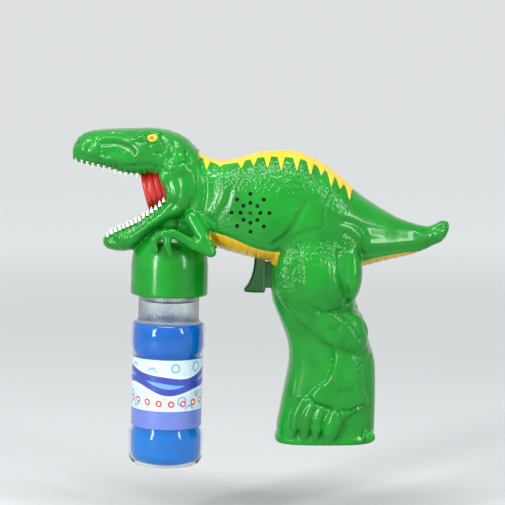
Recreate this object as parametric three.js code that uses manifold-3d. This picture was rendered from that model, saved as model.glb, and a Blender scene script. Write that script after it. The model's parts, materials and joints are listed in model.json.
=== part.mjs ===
// Hand-held dinosaur bubble machine: a motor fan, a roller pump and a screwed-on bottle inside two shells.
// Millimetres. +Z is up, the snout points to -X and +Y is the toy's right side.
// The origin is the middle of the pistol grip on the seam between the two shells.
import * as THREE from "three";
import { mergeVertices } from "three/addons/utils/BufferGeometryUtils.js";
import Module from "manifold-3d";

const wasm = await Module();
wasm.setup();

// ---- Driving dimensions ----
const wall = 2;
const gap = 0.3; // between pieces that touch on the real toy
const roundSides = 20;
const sectionPoints = 14; // points round a shell section
const headHalf = 17.5;
const tailTipX = 59;
const cellRadius = 7.25;
const cellLength = 50.5;
const boxWall = 1.2;
const springSpace = 4; // contacts at both ends of the cells
const motorLength = 18.5;
const motorHalfWidth = 6;
const motorHalfHeight = 8;
const fanRadius = 12.5;
const fanDepth = 7;
const inletRadius = 9;
const frameThickness = 1.6;
const gearModule = 0.6;
const gearWidth = 2.2;
const pinionTeeth = 8;
const idlerTeeth = 32;
const idlerPinionTeeth = 10;
const pumpTeeth = 36;
const shaftRadius = 1;
const tubeRadius = 2;
const tubeBore = 1.1;
const ringRadius = 10;
const linerRadius = 11;
const bottleRadius = 18.8;
const neckRadius = 12.2;
const bottleWall = 1.3;
const bottleDepth = 85.5; // below the rim of the socket
const capWall = 1.7;
const capPlay = 0.9; // for the thread
const flangeWidth = 2;
const socketPlay = 0.45;
const triggerHalf = 4.5;
const triggerTravel = 6;
const wiperReach = 20;
const wiperTurn = THREE.MathUtils.degToRad(50);
const screwRadius = 1.25;
const screwHeadRadius = 2.6;
const doorScrewRise = 8.3; // above the battery box's underside
const torsoRoom = 4.6; // beside the motor or the fan
const gripRoom = 1.7; // beside the battery box

// ---- Layout worked out from them ----
const frameLeft = -2.4;
const frameRight = frameLeft + frameThickness;
const motorFront = frameRight + gap;
const motorBack = motorFront + motorLength;
const secondStage = [frameLeft - gap - gearWidth, frameLeft - gap];
const firstStage = [secondStage[0] - 0.4 - gearWidth, secondStage[0] - 0.4];
const coverRight = firstStage[0] - 0.4;
const coverLeft = coverRight - 1.2;
const fanRight = coverLeft - gap;
const fanLeft = fanRight - fanDepth;
const torsoHalf = Math.max(motorBack, -fanLeft) + torsoRoom + wall;
const packHalf = cellRadius * (1 + Math.sqrt(3) / 2);
const boxHalf = packHalf + gap + boxWall;
const gripHalf = boxHalf + gripRoom + wall;
const boxTop = 14.6;
const boxBottom = boxTop - cellLength - springSpace - 2 * boxWall;
const gripBase = boxBottom - 1.3 - wall;
const doorScrewZ = boxBottom + doorScrewRise;
const boxFront = -16.9;
const cellPlay = 0.3; // between two cells
const boxBack = boxFront + 4 * cellRadius + 2 * (boxWall + gap + cellPlay);
const cellX = (boxFront + boxBack) / 2;
const fan = new THREE.Vector3(-40, 0, 70.5);
const idlerAngle = THREE.MathUtils.degToRad(-25);
const firstCentres = (gearModule * (pinionTeeth + idlerTeeth)) / 2;
const secondCentres = (gearModule * (idlerPinionTeeth + pumpTeeth)) / 2;
const idlerSide = new THREE.Vector3(Math.cos(idlerAngle), 0, Math.sin(idlerAngle));
const idler = idlerSide.multiplyScalar(firstCentres).add(fan);
const pump = idler.clone().add(new THREE.Vector3(secondCentres, 0, 0));
const throatTilt = THREE.MathUtils.degToRad(13.3);
const forward = new THREE.Vector3(-Math.cos(throatTilt), 0, -Math.sin(throatTilt));
const throatUp = new THREE.Vector3(-Math.sin(throatTilt), 0, Math.cos(throatTilt));
const linerLength = 10;
const wiperGap = 4.5;
const ringDepth = 4;
const linerFront = new THREE.Vector3(-92.2, 0, 79.8);
const ringFront = linerFront.clone().addScaledVector(forward, -linerLength - wiperGap);
const ductEnd = ringFront.clone().addScaledVector(forward, -ringDepth - gap);
const wiperPivot = ringFront.clone().addScaledVector(forward, -17.2).addScaledVector(throatUp, 2.45);
const wiperTail = triggerTravel / wiperTurn;
const bottleTilt = THREE.MathUtils.degToRad(1.6);
const socketRim = new THREE.Vector3(-80.8, 0, 28);
const capTop = 17.5;
const capBore = neckRadius + capPlay;
const capRadius = capBore + capWall;
const flangeEdge = capRadius + flangeWidth;
const socketRadius = flangeEdge + socketPlay + wall;

// ---- Geometry helpers ----

// A closed mesh as a manifold-3d solid, turned the right way out.
function solid(geometry) {
  const bare = geometry.clone();
  bare.deleteAttribute("normal");
  bare.deleteAttribute("uv");
  const merged = mergeVertices(bare, 1e-4);
  const index = merged.index.array;
  const kept = [];
  for (let i = 0; i < index.length; i += 3) {
    const [a, b, c] = [index[i], index[i + 1], index[i + 2]];
    if (a !== b && b !== c && c !== a) kept.push(a, b, c);
  }
  const vertProperties = new Float32Array(merged.attributes.position.array);
  const build = (order) => {
    const triVerts = new Uint32Array(order);
    return new wasm.Manifold(new wasm.Mesh({ numProp: 3, vertProperties, triVerts }));
  };
  const made = build(kept);
  return made.volume() < 0 ? build(kept.reverse()) : made;
}

function geometryOf(manifold) {
  const mesh = manifold.getMesh();
  const geometry = new THREE.BufferGeometry();
  geometry.setAttribute("position", new THREE.BufferAttribute(new Float32Array(mesh.vertProperties), 3));
  geometry.setIndex(new THREE.BufferAttribute(new Uint32Array(mesh.triVerts), 1));
  return geometry;
}

const joined = (...solids) => solids.flat().reduce((a, b) => a.add(b));
const cut = (from, ...solids) => solids.flat().reduce((a, b) => a.subtract(b), from);

function box(x0, x1, y0, y1, z0, z1) {
  const geometry = new THREE.BoxGeometry(x1 - x0, y1 - y0, z1 - z0);
  geometry.translate((x0 + x1) / 2, (y0 + y1) / 2, (z0 + z1) / 2);
  return solid(geometry);
}

// A round bar from one point to another.
function bar(from, to, radius, sides = 12, endRadius = radius) {
  const along = new THREE.Vector3().subVectors(to, from);
  const geometry = new THREE.CylinderGeometry(endRadius, radius, along.length(), sides);
  const turn = new THREE.Quaternion();
  turn.setFromUnitVectors(new THREE.Vector3(0, 1, 0), along.clone().normalize());
  geometry.applyQuaternion(turn);
  geometry.translate(...from.clone().lerp(to, 0.5).toArray());
  return solid(geometry);
}

// A round bar across the toy at (x, z).
const across = (x, z, y0, y1, radius, sides = 16) =>
  bar(new THREE.Vector3(x, y0, z), new THREE.Vector3(x, y1, z), radius, sides);

// A profile of [radius, height] pairs turned about +Z.
function turned(profile, sides = roundSides) {
  const geometry = new THREE.LatheGeometry(profile.map(([r, h]) => new THREE.Vector2(r, h)), sides);
  geometry.rotateX(Math.PI / 2);
  return solid(geometry);
}

// A flat outline of [x, z] points, from y0 to y1 across the toy.
function plate(points, y0, y1) {
  const outline = new THREE.Shape(points.map(([x, z]) => new THREE.Vector2(x, z)));
  const geometry = new THREE.ExtrudeGeometry(outline, { depth: y1 - y0, bevelEnabled: false });
  geometry.rotateX(Math.PI / 2);
  geometry.translate(0, y1, 0);
  return solid(geometry);
}

// A flat outline of [x, y] points, from z0 up to z1.
function column(points, z0, z1) {
  const outline = new THREE.Shape(points.map(([x, y]) => new THREE.Vector2(x, y)));
  const geometry = new THREE.ExtrudeGeometry(outline, { depth: z1 - z0, bevelEnabled: false });
  geometry.translate(0, 0, z0);
  return solid(geometry);
}

// A tube along a smooth line through the given points.
function tube(points, radius, sides, steps) {
  const section = new THREE.Shape();
  section.setFromPoints(
    Array.from({ length: sides }, (_, i) => {
      const turn = (2 * Math.PI * i) / sides;
      return new THREE.Vector2(radius * Math.cos(turn), radius * Math.sin(turn));
    }),
  );
  const extrudePath = new THREE.CatmullRomCurve3(points.map((p) => new THREE.Vector3(...p)));
  return solid(new THREE.ExtrudeGeometry(section, { extrudePath, steps }));
}

// Rings of points with the same count, closed at both ends.
function skin(rings) {
  const count = rings[0].length;
  const position = rings.flat().flatMap((p) => p);
  const index = [];
  for (let r = 0; r + 1 < rings.length; r++) {
    for (let i = 0; i < count; i++) {
      const a = r * count + i;
      const b = r * count + ((i + 1) % count);
      index.push(a, b, b + count, a, b + count, a + count);
    }
  }
  const last = (rings.length - 1) * count;
  for (let i = 1; i + 1 < count; i++) {
    index.push(0, i + 1, i);
    index.push(last, last + i, last + i + 1);
  }
  const geometry = new THREE.BufferGeometry();
  geometry.setAttribute("position", new THREE.BufferAttribute(new Float32Array(position), 3));
  geometry.setIndex(index);
  return solid(geometry);
}

// A rounded section: a superellipse in the plane of the two axes it returns.
function section(halfA, halfB, power) {
  return Array.from({ length: sectionPoints }, (_, i) => {
    const turn = (2 * Math.PI * i) / sectionPoints;
    const round = (v) => Math.sign(v) * Math.abs(v) ** (2 / power);
    return [halfA * round(Math.cos(turn)), halfB * round(Math.sin(turn))];
  });
}

// A body along X from stations of [x, bottom, top, half width]. An inset makes the hollow inside it.
function alongX(stations, power, inset = 0) {
  const rings = stations.map(([x, bottom, top, half], i) => {
    const end = i === 0 ? inset : i === stations.length - 1 ? -inset : 0;
    const middle = (bottom + top) / 2;
    const tall = Math.max((top - bottom) / 2 - inset, 0.4);
    return section(Math.max(half - inset, 0.4), tall, power).map(([y, z]) => [x + end, y, middle + z]);
  });
  return skin(rings);
}

// A body along Z from stations of [z, front, back, half width].
function alongZ(stations, power, inset = 0) {
  const rings = stations.map(([z, front, back, half], i) => {
    const end = i === 0 ? inset : i === stations.length - 1 ? -inset : 0;
    const middle = (front + back) / 2;
    const long = Math.max((back - front) / 2 - inset, 0.4);
    return section(long, Math.max(half - inset, 0.4), power).map(([x, y]) => [middle + x, y, z + end]);
  });
  return skin(rings);
}

// The matrix that carries +Z onto a direction in the XZ plane and the origin onto a point.
function standAt(point, direction) {
  const side = new THREE.Vector3(0, 1, 0);
  const first = new THREE.Vector3().crossVectors(side, direction).normalize();
  return new THREE.Matrix4().makeBasis(first, side, direction.clone().normalize()).setPosition(point);
}

const throatFrame = standAt(linerFront, forward);
const bottleUp = new THREE.Vector3(Math.sin(bottleTilt), 0, Math.cos(bottleTilt));
const bottleFrame = standAt(socketRim, bottleUp);
const moved = (manifold, matrix) => solid(geometryOf(manifold).applyMatrix4(matrix));

// ---- The toy ----

const toy = new THREE.Group();

function material(color, roughness, metalness = 0) {
  return new THREE.MeshStandardMaterial({ color, roughness, metalness });
}

const green = material(0x24aa3a, 0.25);
const red = material(0xcd2823, 0.35);
const white = material(0xe8eaec, 0.45);
const grey = material(0x53585e, 0.5);
const black = material(0x1d1e20, 0.5);
const steel = material(0xb9bcc0, 0.3, 1);
const brass = material(0xc9a24a, 0.3, 1);
const clear = material(0xdfeff2, 0.08);
const blue = material(0x0a6ad0, 0.1);
const labelPaper = material(0xeef4f6, 0.6);

function add(name, manifold, look, group = toy) {
  const mesh = new THREE.Mesh(geometryOf(manifold), look);
  mesh.name = name;
  group.add(mesh);
}

// Stations of the skull with the upper jaw: x, bottom, top, half width.
const skull = [
  [-128, 96.5, 101.5, 0.3],
  [-126.3, 94.5, 105, 0.52],
  [-121.5, 93.3, 109.5, 0.68],
  [-112, 91, 110.6, 0.78],
  [-101.5, 88, 111.1, 0.86],
  [-92, 87.4, 111.4, 0.95],
  [-84, 86.4, 110.9, 1],
  [-75, 84, 108.5, 0.98],
  [-69.5, 82, 104.5, 0.92],
  [-64, 80, 98.5, 0.78],
].map(([x, bottom, top, share]) => [x, bottom, top, share * headHalf]);

const cheek = [
  [-83.5, 74.5, 88, 0.82],
  [-79, 66.5, 97, 0.96],
  [-73, 67, 100, 1],
  [-67, 71, 98, 0.97],
  [-65, 76, 93, 0.9],
].map(([x, bottom, top, share]) => [x, bottom, top, share * headHalf]);

const lowerJaw = [
  [-113.2, 53.2, 56.8, 0.34],
  [-110, 50.8, 60, 0.56],
  [-104.5, 49.8, 62.4, 0.66],
  [-98.5, 50.8, 65.2, 0.74],
  [-92, 57, 69.2, 0.82],
  [-86, 61.6, 73.4, 0.9],
  [-80, 65.3, 78, 0.96],
  [-72, 67, 84, 0.96],
].map(([x, bottom, top, share]) => [x, bottom, top, share * headHalf]);

// Torso and tail. The tip of the tail turns up.
const torso = [
  [-76, 62, 96, 0.55],
  [-68, 57.5, 98.6, 0.76],
  [-59, 53.5, 96, 0.88],
  [-50, 50, 95.2, 0.94],
  [-40, 47.6, 98, 0.99],
  [-30, 45.5, 99.8, 1],
  [-18, 44.5, 99.8, 1],
  [-9, 44, 96, 0.98],
  [0, 43, 90.5, 0.93],
  [10, 42.4, 82, 0.84],
  [20, 44, 74.7, 0.7],
  [30, 47.2, 68.6, 0.55],
  [40, 49.8, 64.2, 0.42],
  [48, 51.8, 62.2, 0.32],
  [tailTipX - 5, 53.8, 64.8, 0.25],
  [tailTipX, 60, 64.2, 0.1],
].map(([x, bottom, top, share]) => [x, bottom, top, share * torsoHalf]);

// The pistol grip from its base to inside the torso: share of the height, front, back, half width.
const gripTop = 56;
const grip = [
  [0, -27, 22, 1],
  [0.03, -27, 22.2, 1],
  [0.14, -25.6, 22.6, 0.98],
  [0.28, -22.6, 22.8, 0.98],
  [0.4, -20.8, 22, 1],
  [0.5, -21.4, 19.8, 1.02],
  [0.6, -25.2, 18.6, 1.06],
  [0.7, -29, 16.4, 1.12],
  [0.82, -30, 14.4, 1.2],
  [0.92, -30, 14, 1.22],
  [1, -28, 12, 1.2],
].map(([share, front, back, half]) => {
  const height = gripBase + share * (gripTop - gripBase);
  return [height, front, back, half * gripHalf];
});

const headPower = 2.5;
const torsoPower = 3;
const gripPower = 3.4;
const socketDome = [
  [0, 0],
  [socketRadius, 0],
  [socketRadius, 17],
  [socketRadius - 2.2, 24],
  [socketRadius - 7.5, 31],
  [0, 36],
];

// The socket's outside, or with an inset the hollow that opens at its rim.
function socketForm(inset) {
  const pastRim = -5 * Math.sign(inset);
  const profile = socketDome.map(([r, h]) => [Math.max(r - inset, 0), h === 0 ? pastRim : h - inset]);
  return moved(turned(profile, 24), bottleFrame);
}

// One side's arm, hand and claws, hugging the socket.
function arm(side) {
  const shoulder = new THREE.Vector3(-68, side * 15, 69);
  const elbow = new THREE.Vector3(-57.5, side * 20, 51.5);
  const wrist = new THREE.Vector3(-78.5, side * 19, 59.5);
  const hand = new THREE.Vector3(-86, side * 16.5, 57.5);
  const claws = [new THREE.Vector3(-86.5, side * 17, 50), new THREE.Vector3(-79, side * 19.5, 49)];
  const ball = (at, radius) => solid(new THREE.SphereGeometry(radius, 7, 5).translate(...at.toArray()));
  return joined(
    bar(shoulder, elbow, 3.2, 7),
    ball(elbow, 3.5),
    bar(elbow, wrist, 3, 7, 2.4),
    bar(wrist, hand, 2.6, 7, 2.3),
    bar(hand, claws[0], 2.3, 5, 0.6),
    bar(wrist, claws[1], 2.3, 5, 0.6),
  );
}

// A flattened ball: the thigh, shin and foot standing out of one side.
function lobe(x, z, lengthX, lengthZ, y, depth) {
  const geometry = new THREE.SphereGeometry(1, 10, 6);
  geometry.scale(lengthX, depth, lengthZ);
  geometry.translate(x, y, z);
  return solid(geometry);
}

function leg(side) {
  const root = side * (gripHalf - 3);
  return joined(
    lobe(-4, 34, 20, 21, root, 9),
    lobe(8, -8, 12, 26, root, 5),
    lobe(-2, -34, 16, 6.5, root, 6),
  );
}

const outside = cut(
  joined(
    alongX(skull, headPower),
    alongX(cheek, headPower),
    alongX(lowerJaw, headPower),
    alongX(torso, torsoPower),
    alongZ(grip, gripPower),
    socketForm(0),
    arm(-1),
    arm(1),
    leg(-1),
    leg(1),
  ),
  box(-60, 60, -60, 60, gripBase - 20, gripBase),
);
const inside = joined(
  alongX(skull, headPower, wall),
  alongX(cheek, headPower, wall),
  alongX(lowerJaw.slice(1), headPower, wall),
  alongX(torso.slice(0, -1), torsoPower, wall),
  alongZ(grip, gripPower, wall),
);

// The battery door's place in the right side of the grip.
const doorTop = boxTop - 2;
const doorBottom = gripBase + 4;
const doorFront = boxFront + 1;
const doorBack = boxBack - 1;
const doorArea = (extra) => {
  const outside = torsoHalf + 20;
  return box(doorFront - extra, doorBack + extra, boxHalf - 0.2, outside, doorBottom - extra, doorTop + extra);
};

// Shell screws: x, z.
const screwPlaces = [
  [-112, 100],
  [-86, 101],
  [-99.5, 57.5],
  [-68.5, 70],
  [-9, 86.5],
  [35, 57.5],
  [6, 30],
  [boxFront - 4.8, doorScrewZ],
];
const bossEnd = 0.3;
const headSeat = 6;
const farSide = torsoHalf + 10;

const flangeRadius = linerRadius + 2.2;
const linerBore = linerRadius + gap;
const flangeBore = flangeRadius + gap;
const flangeSeat = -linerLength + 1.4 + gap;
const linerHole = moved(
  turned([
    [0, -19],
    [flangeBore, -19],
    [flangeBore, flangeSeat],
    [linerBore, flangeSeat],
    [linerBore, 12],
    [0, 12],
  ]),
  throatFrame,
);
const wiperRoom = moved(box(-8, 14.8, -9.8, 13.4, -16.2, -8.6), throatFrame);
// The solution tube climbs from the socket into the torso here.
const tubePassage = bar(new THREE.Vector3(-75, 3, 50), new THREE.Vector3(-69, 5, 68), 3.5, 10);
const ledgeBore = capRadius + 0.6;
const ledgeLow = 8.6;
const ledgeHigh = 10.6;
const capLedge = moved(
  turned(
    [
      [ledgeBore, ledgeLow],
      [socketRadius - 0.5, ledgeLow],
      [socketRadius - 0.5, ledgeHigh],
      [ledgeBore, ledgeHigh],
      [ledgeBore, ledgeLow],
    ],
    24,
  ),
  bottleFrame,
);
const triggerSlot = joined(
  box(-39.8, -25, -triggerHalf - 0.5, triggerHalf + 0.5, 40, 52),
  box(-45, -25, -triggerHalf - 0.5, triggerHalf + 0.5, 28.6, 50),
);
const holeRings = [0, 4.8, 9.2];
const airHoles = joined(
  holeRings.flatMap((reach) =>
    Array.from({ length: reach === 0 ? 1 : 8 }, (_, i) => {
      const turn = (i * Math.PI) / 4;
      return across(fan.x + reach * Math.cos(turn), fan.z + reach * Math.sin(turn), -40, -10, 1, 6);
    }),
  ),
);
const openings = joined(linerHole, socketForm(wall), triggerSlot, wiperRoom, tubePassage);

// One half shell: the wall on one side of the seam with its screw bosses.
function shell(side) {
  const seam = side * 0.15;
  const half = side < 0 ? box(-150, 80, -60, seam, -60, 130) : box(-150, 80, seam, 60, -60, 130);
  const start = side * bossEnd;
  const bossRadius = side < 0 ? 3.2 : 4;
  const bosses = joined(screwPlaces.map(([x, z]) => across(x, z, start, side * farSide, bossRadius, 12)));
  const ledge = capLedge.intersect(half);
  const body = joined(cut(outside, inside, openings), bosses.intersect(cut(outside, openings)), ledge);
  return body.intersect(half);
}

const screwHoles = joined(
  screwPlaces.flatMap(([x, z]) => [
    across(x, z, -10, farSide, screwRadius + gap, 8),
    across(x, z, headSeat, farSide, screwHeadRadius + 0.5, 12),
  ]),
);
const springSeatX = -6;
const frameScrewPlaces = [
  [-22, 84],
  [-28, 52],
];
const framePosts = joined(
  frameScrewPlaces.map(([x, z]) => across(x, z, -farSide, frameLeft - gap, 2.6, 12)),
).intersect(outside);
const springSeat = box(springSeatX, springSeatX + wall, -farSide, 3.5, 36, 45).intersect(outside);
const leftShell = cut(
  joined(shell(-1), framePosts, springSeat.intersect(box(-60, 60, -60, -0.15, -60, 130))),
  screwHoles,
  airHoles,
  frameScrewPlaces.map(([x, z]) => across(x, z, -12, 0, 1.2, 10)),
);
const pivotBoss = across(wiperPivot.x, wiperPivot.z, 12.8, farSide, 2.4, 12).intersect(outside);
const rightShell = cut(
  joined(shell(1), pivotBoss),
  screwHoles,
  doorArea(0),
  across(wiperPivot.x, wiperPivot.z, 10, 15.6, 1.1, 10),
);
add("left_shell", leftShell, green);
add("right_shell", rightShell, green);

// The door is the piece of wall that its opening leaves out.
function batteryDoor() {
  const panel = outside.intersect(doorArea(-gap)).intersect(box(-60, 60, boxHalf + 0.2, 60, -60, 60));
  const hole = across(cellX, doorScrewZ, 10, 60, screwRadius + gap, 10);
  const counterbore = across(cellX, doorScrewZ, boxHalf + 2, 60, screwHeadRadius + 0.4);
  return cut(panel, hole, counterbore);
}
add("battery_door", batteryDoor(), green);

// A pan-head screw across the toy, its head's underside at y.
function screw(x, z, y, length, headRadius = screwHeadRadius) {
  const shank = across(x, z, y - length, y + 0.1, screwRadius, 8);
  const head = across(x, z, y, y + 1.8, headRadius, 12);
  const slot = box(x - headRadius, x + headRadius, y + 1, y + 3, z - 0.4, z + 0.4);
  return cut(joined(shank, head), slot);
}
screwPlaces.forEach(([x, z], i) => add(`shell_screw_${i + 1}`, screw(x, z, headSeat + gap, 14), steel));
add("door_screw", screw(cellX, doorScrewZ, boxHalf + 2 + gap, 3.6), steel);

// ---- Battery compartment in the grip ----

// The box hugs one cell on the left and two on the right, where it is open to the door.
function boxOutline(inset) {
  const wide = (boxBack - boxFront) / 2 - inset;
  const left = -boxHalf + inset;
  const right = boxHalf - 0.5;
  const shoulder = 0.12 * cellRadius;
  return [
    [cellX - 0.8 * cellRadius, left],
    [cellX + 0.8 * cellRadius, left],
    [cellX + wide, -0.7 * cellRadius],
    [cellX + wide, cellRadius + shoulder],
    [cellX + 0.735 * wide, right],
    [cellX - 0.735 * wide, right],
    [cellX - wide, cellRadius + shoulder],
    [cellX - wide, -0.7 * cellRadius],
  ];
}
function batteryBox() {
  const mouthHalf = 1.6 * cellRadius;
  const mouth = box(cellX - mouthHalf, cellX + mouthHalf, 0, 30, boxBottom + boxWall, boxTop - boxWall);
  return cut(
    column(boxOutline(0), boxBottom, boxTop),
    column(boxOutline(boxWall), boxBottom + boxWall, boxTop - boxWall),
    mouth,
  );
}
add("battery_box", batteryBox(), black);
const cellPlaces = [
  [cellX, -packHalf + cellRadius],
  [cellX - cellRadius - 0.15, packHalf - cellRadius],
  [cellX + cellRadius + 0.15, packHalf - cellRadius],
];
const cellBottom = boxBottom + boxWall + springSpace - 1.1;
cellPlaces.forEach(([x, y], i) => {
  const bottom = new THREE.Vector3(x, y, cellBottom);
  const can = bottom.clone().setZ(cellBottom + cellLength - 1.2);
  const tip = bottom.clone().setZ(cellBottom + cellLength - 0.2);
  const canBar = bar(bottom, can, cellRadius - 0.1, 20);
  const tipBar = bar(can.clone().setZ(can.z - 0.1), tip, 2.6, 12);
  add(`cell_${i + 1}`, joined(canBar, tipBar), grey);
  const foot = bottom.clone().setZ(boxBottom + boxWall + 0.8);
  add(`cell_spring_${i + 1}`, bar(foot, bottom.clone().setZ(cellBottom - gap), 3.6, 12, 2), steel);
});
const contactOutline = boxOutline(boxWall + 1.2);
const contactBase = boxBottom + boxWall + 0.1;
const contactTop = boxTop - boxWall - 0.1;
add("contact_plate_bottom", column(contactOutline, contactBase, contactBase + 0.4), steel);
add("contact_plate_top", column(contactOutline, contactTop - 0.4, contactTop), steel);

// ---- Fan and its housing ----

// The scroll round the fan: its radius grows on the way round to the outlet over the top.
const scrollWall = 1.2;
const scrollStart = fanRadius + scrollWall + 0.7;
const scrollGrowth = 3.4;
const outletX = -58.5;
function scroll(inset, mouth) {
  const steps = 20;
  const turns = Array.from({ length: steps + 1 }, (_, i) => i / steps);
  const points = turns.map((share) => {
    const turn = THREE.MathUtils.degToRad(150 + 300 * share);
    const radius = scrollStart + scrollGrowth * share - inset;
    return [fan.x + radius * Math.cos(turn), fan.z + radius * Math.sin(turn)];
  });
  const top = fan.z + scrollStart + scrollGrowth - inset;
  const low = fan.z + scrollStart / 2 + inset;
  return [...points, [mouth, top], [mouth, low]];
}
add(
  "fan_housing",
  cut(
    plate(scroll(0, outletX), fanLeft, fanRight),
    plate(scroll(scrollWall, outletX - 1), fanLeft + scrollWall, fanRight + 1),
    across(fan.x, fan.z, fanLeft - 1, fanLeft + 2, inletRadius, 20),
  ),
  white,
);
const hubHole = across(fan.x, fan.z, coverLeft - 1, coverRight + 1, 2.6);
add("fan_cover", cut(plate(scroll(0, outletX), coverLeft, coverRight), hubHole), white);

function fanWheel() {
  const front = fanLeft + scrollWall + 0.7;
  const back = fanRight - 0.5;
  const disc = across(fan.x, fan.z, back - 1, back, fanRadius, 24);
  const hub = across(fan.x, fan.z, front, back, 2.4, 12);
  const blade = box(1.8, fanRadius, -0.4, 0.4, front, back - 0.5);
  const blades = Array.from({ length: 9 }, (_, i) => {
    const turn = new THREE.Matrix4().makeRotationZ((2 * Math.PI * i) / 9);
    const stand = new THREE.Matrix4().set(1, 0, 0, fan.x, 0, 0, 1, 0, 0, 1, 0, fan.z, 0, 0, 0, 1);
    return moved(blade, stand.multiply(turn));
  });
  return cut(joined(disc, hub, blades), across(fan.x, fan.z, front - 1, back + 1, shaftRadius + 0.05, 12));
}
add("fan_wheel", fanWheel(), white);

// ---- Motor and gears ----

function motorCan() {
  const can = section(motorHalfWidth, motorHalfHeight, 4).map(([x, z]) => [fan.x + x, fan.z + z]);
  return plate(can, motorFront, motorBack);
}
add("motor", motorCan(), steel);
const shaftLeft = fanLeft + scrollWall + 0.9;
add("motor_shaft", across(fan.x, fan.z, shaftLeft, motorFront - 0.1, shaftRadius, 12), steel);

// A spur gear between y0 and y1 with one tooth pointing along the given angle.
function spur(centre, teeth, y0, y1, toothAt) {
  const pitch = (gearModule * teeth) / 2;
  const points = [];
  for (let i = 0; i < teeth; i++) {
    const middle = toothAt + (2 * Math.PI * i) / teeth;
    const step = (2 * Math.PI) / teeth;
    const corners = [
      [-0.3, pitch - 1.25 * gearModule],
      [-0.12, pitch + 0.85 * gearModule],
      [0.12, pitch + 0.85 * gearModule],
      [0.3, pitch - 1.25 * gearModule],
    ];
    corners.forEach(([share, radius]) => {
      const turn = middle + share * step;
      points.push([centre.x + radius * Math.cos(turn), centre.z + radius * Math.sin(turn)]);
    });
  }
  return plate(points, y0, y1);
}
const facing = (teeth) => Math.PI / teeth; // half a tooth pitch, so that a gap faces the other gear's tooth
add(
  "motor_pinion",
  cut(
    spur(fan, pinionTeeth, firstStage[0], firstStage[1] + 0.2, idlerAngle),
    across(fan.x, fan.z, firstStage[0] - 1, firstStage[1] + 1, shaftRadius + 0.05, 12),
  ),
  brass,
);
add(
  "idler_gear",
  cut(
    joined(
      spur(idler, idlerTeeth, firstStage[0], firstStage[1], idlerAngle + Math.PI + facing(idlerTeeth)),
      spur(idler, idlerPinionTeeth, firstStage[1] - 0.2, secondStage[1], 0),
    ),
    across(idler.x, idler.z, firstStage[0] - 1, secondStage[1] + 1, shaftRadius + 0.05, 12),
  ),
  white,
);
add("idler_axle", across(idler.x, idler.z, firstStage[0] - 0.1, frameRight + 0.4, shaftRadius, 12), steel);
const rotorLeft = frameRight + gap;
const rotorRight = rotorLeft + 6;
add(
  "pump_gear",
  joined(
    spur(pump, pumpTeeth, secondStage[0], secondStage[1], Math.PI + facing(pumpTeeth)),
    across(pump.x, pump.z, secondStage[1] - 0.5, rotorLeft + 1.5, 1.8, 12),
  ),
  white,
);

// ---- Drive frame and roller pump ----

const frameOutline = [
  [-50, 80],
  [-50, 60.5],
  [-33, 48.8],
  [-12, 49.8],
  [0, 58],
  [0, 73],
  [-12, 82],
  [-18, 87.6],
  [-26, 87.6],
  [-30, 81],
];
add(
  "drive_frame",
  cut(
    plate(frameOutline, frameLeft, frameRight),
    across(fan.x, fan.z, -4, 1, 3.6),
    across(idler.x, idler.z, -4, 1, shaftRadius + 0.05, 12),
    across(pump.x, pump.z, -4, 1, 2.1),
    frameScrewPlaces.map(([x, z]) => across(x, z, -4, 1, 1.2, 10)),
  ),
  black,
);
frameScrewPlaces.forEach(([x, z], i) => {
  const stem = across(x, z, -9, frameRight + 0.3, 0.9, 8);
  const head = across(x, z, frameRight + 0.2, frameRight + 1.6, 2, 10);
  add(`frame_screw_${i + 1}`, joined(stem, head), steel);
});

const lobeReach = 7.4;
const tubeLoop = lobeReach + 2.2 + gap + tubeRadius;
function pumpRotor() {
  const lobes = [0, 1, 2].map((i) => {
    const turn = (2 * Math.PI * i) / 3;
    const x = pump.x + lobeReach * Math.cos(turn);
    const z = pump.z + lobeReach * Math.sin(turn);
    return across(x, z, rotorLeft + 0.2, rotorRight, 2.2, 10);
  });
  const disc = across(pump.x, pump.z, rotorLeft, rotorLeft + 1.2, lobeReach + 1.5, 20);
  const hub = across(pump.x, pump.z, rotorLeft, rotorRight, 3.4, 12);
  return cut(joined(disc, hub, lobes), across(pump.x, pump.z, rotorLeft - 1, rotorLeft + 2, 1.85, 12));
}
add("pump_rotor", pumpRotor(), white);

function pumpHousing() {
  const inner = tubeLoop + tubeRadius + gap;
  const ring = cut(
    across(pump.x, pump.z, rotorLeft, rotorRight + 0.4, inner + 1.6, 28),
    across(pump.x, pump.z, rotorLeft - 1, rotorRight + 2, inner, 28),
  );
  return cut(ring, box(-60, pump.x + 1, -5, 20, 30, 100));
}
add("pump_housing", pumpHousing(), grey);
add(
  "pump_cover",
  cut(
    across(pump.x, pump.z, rotorRight + 0.7, rotorRight + 2, tubeLoop + tubeRadius + 1.9, 28),
    box(-60, pump.x - 6, -5, 20, 30, 100),
  ),
  grey,
);

// ---- Liquid path ----

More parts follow.
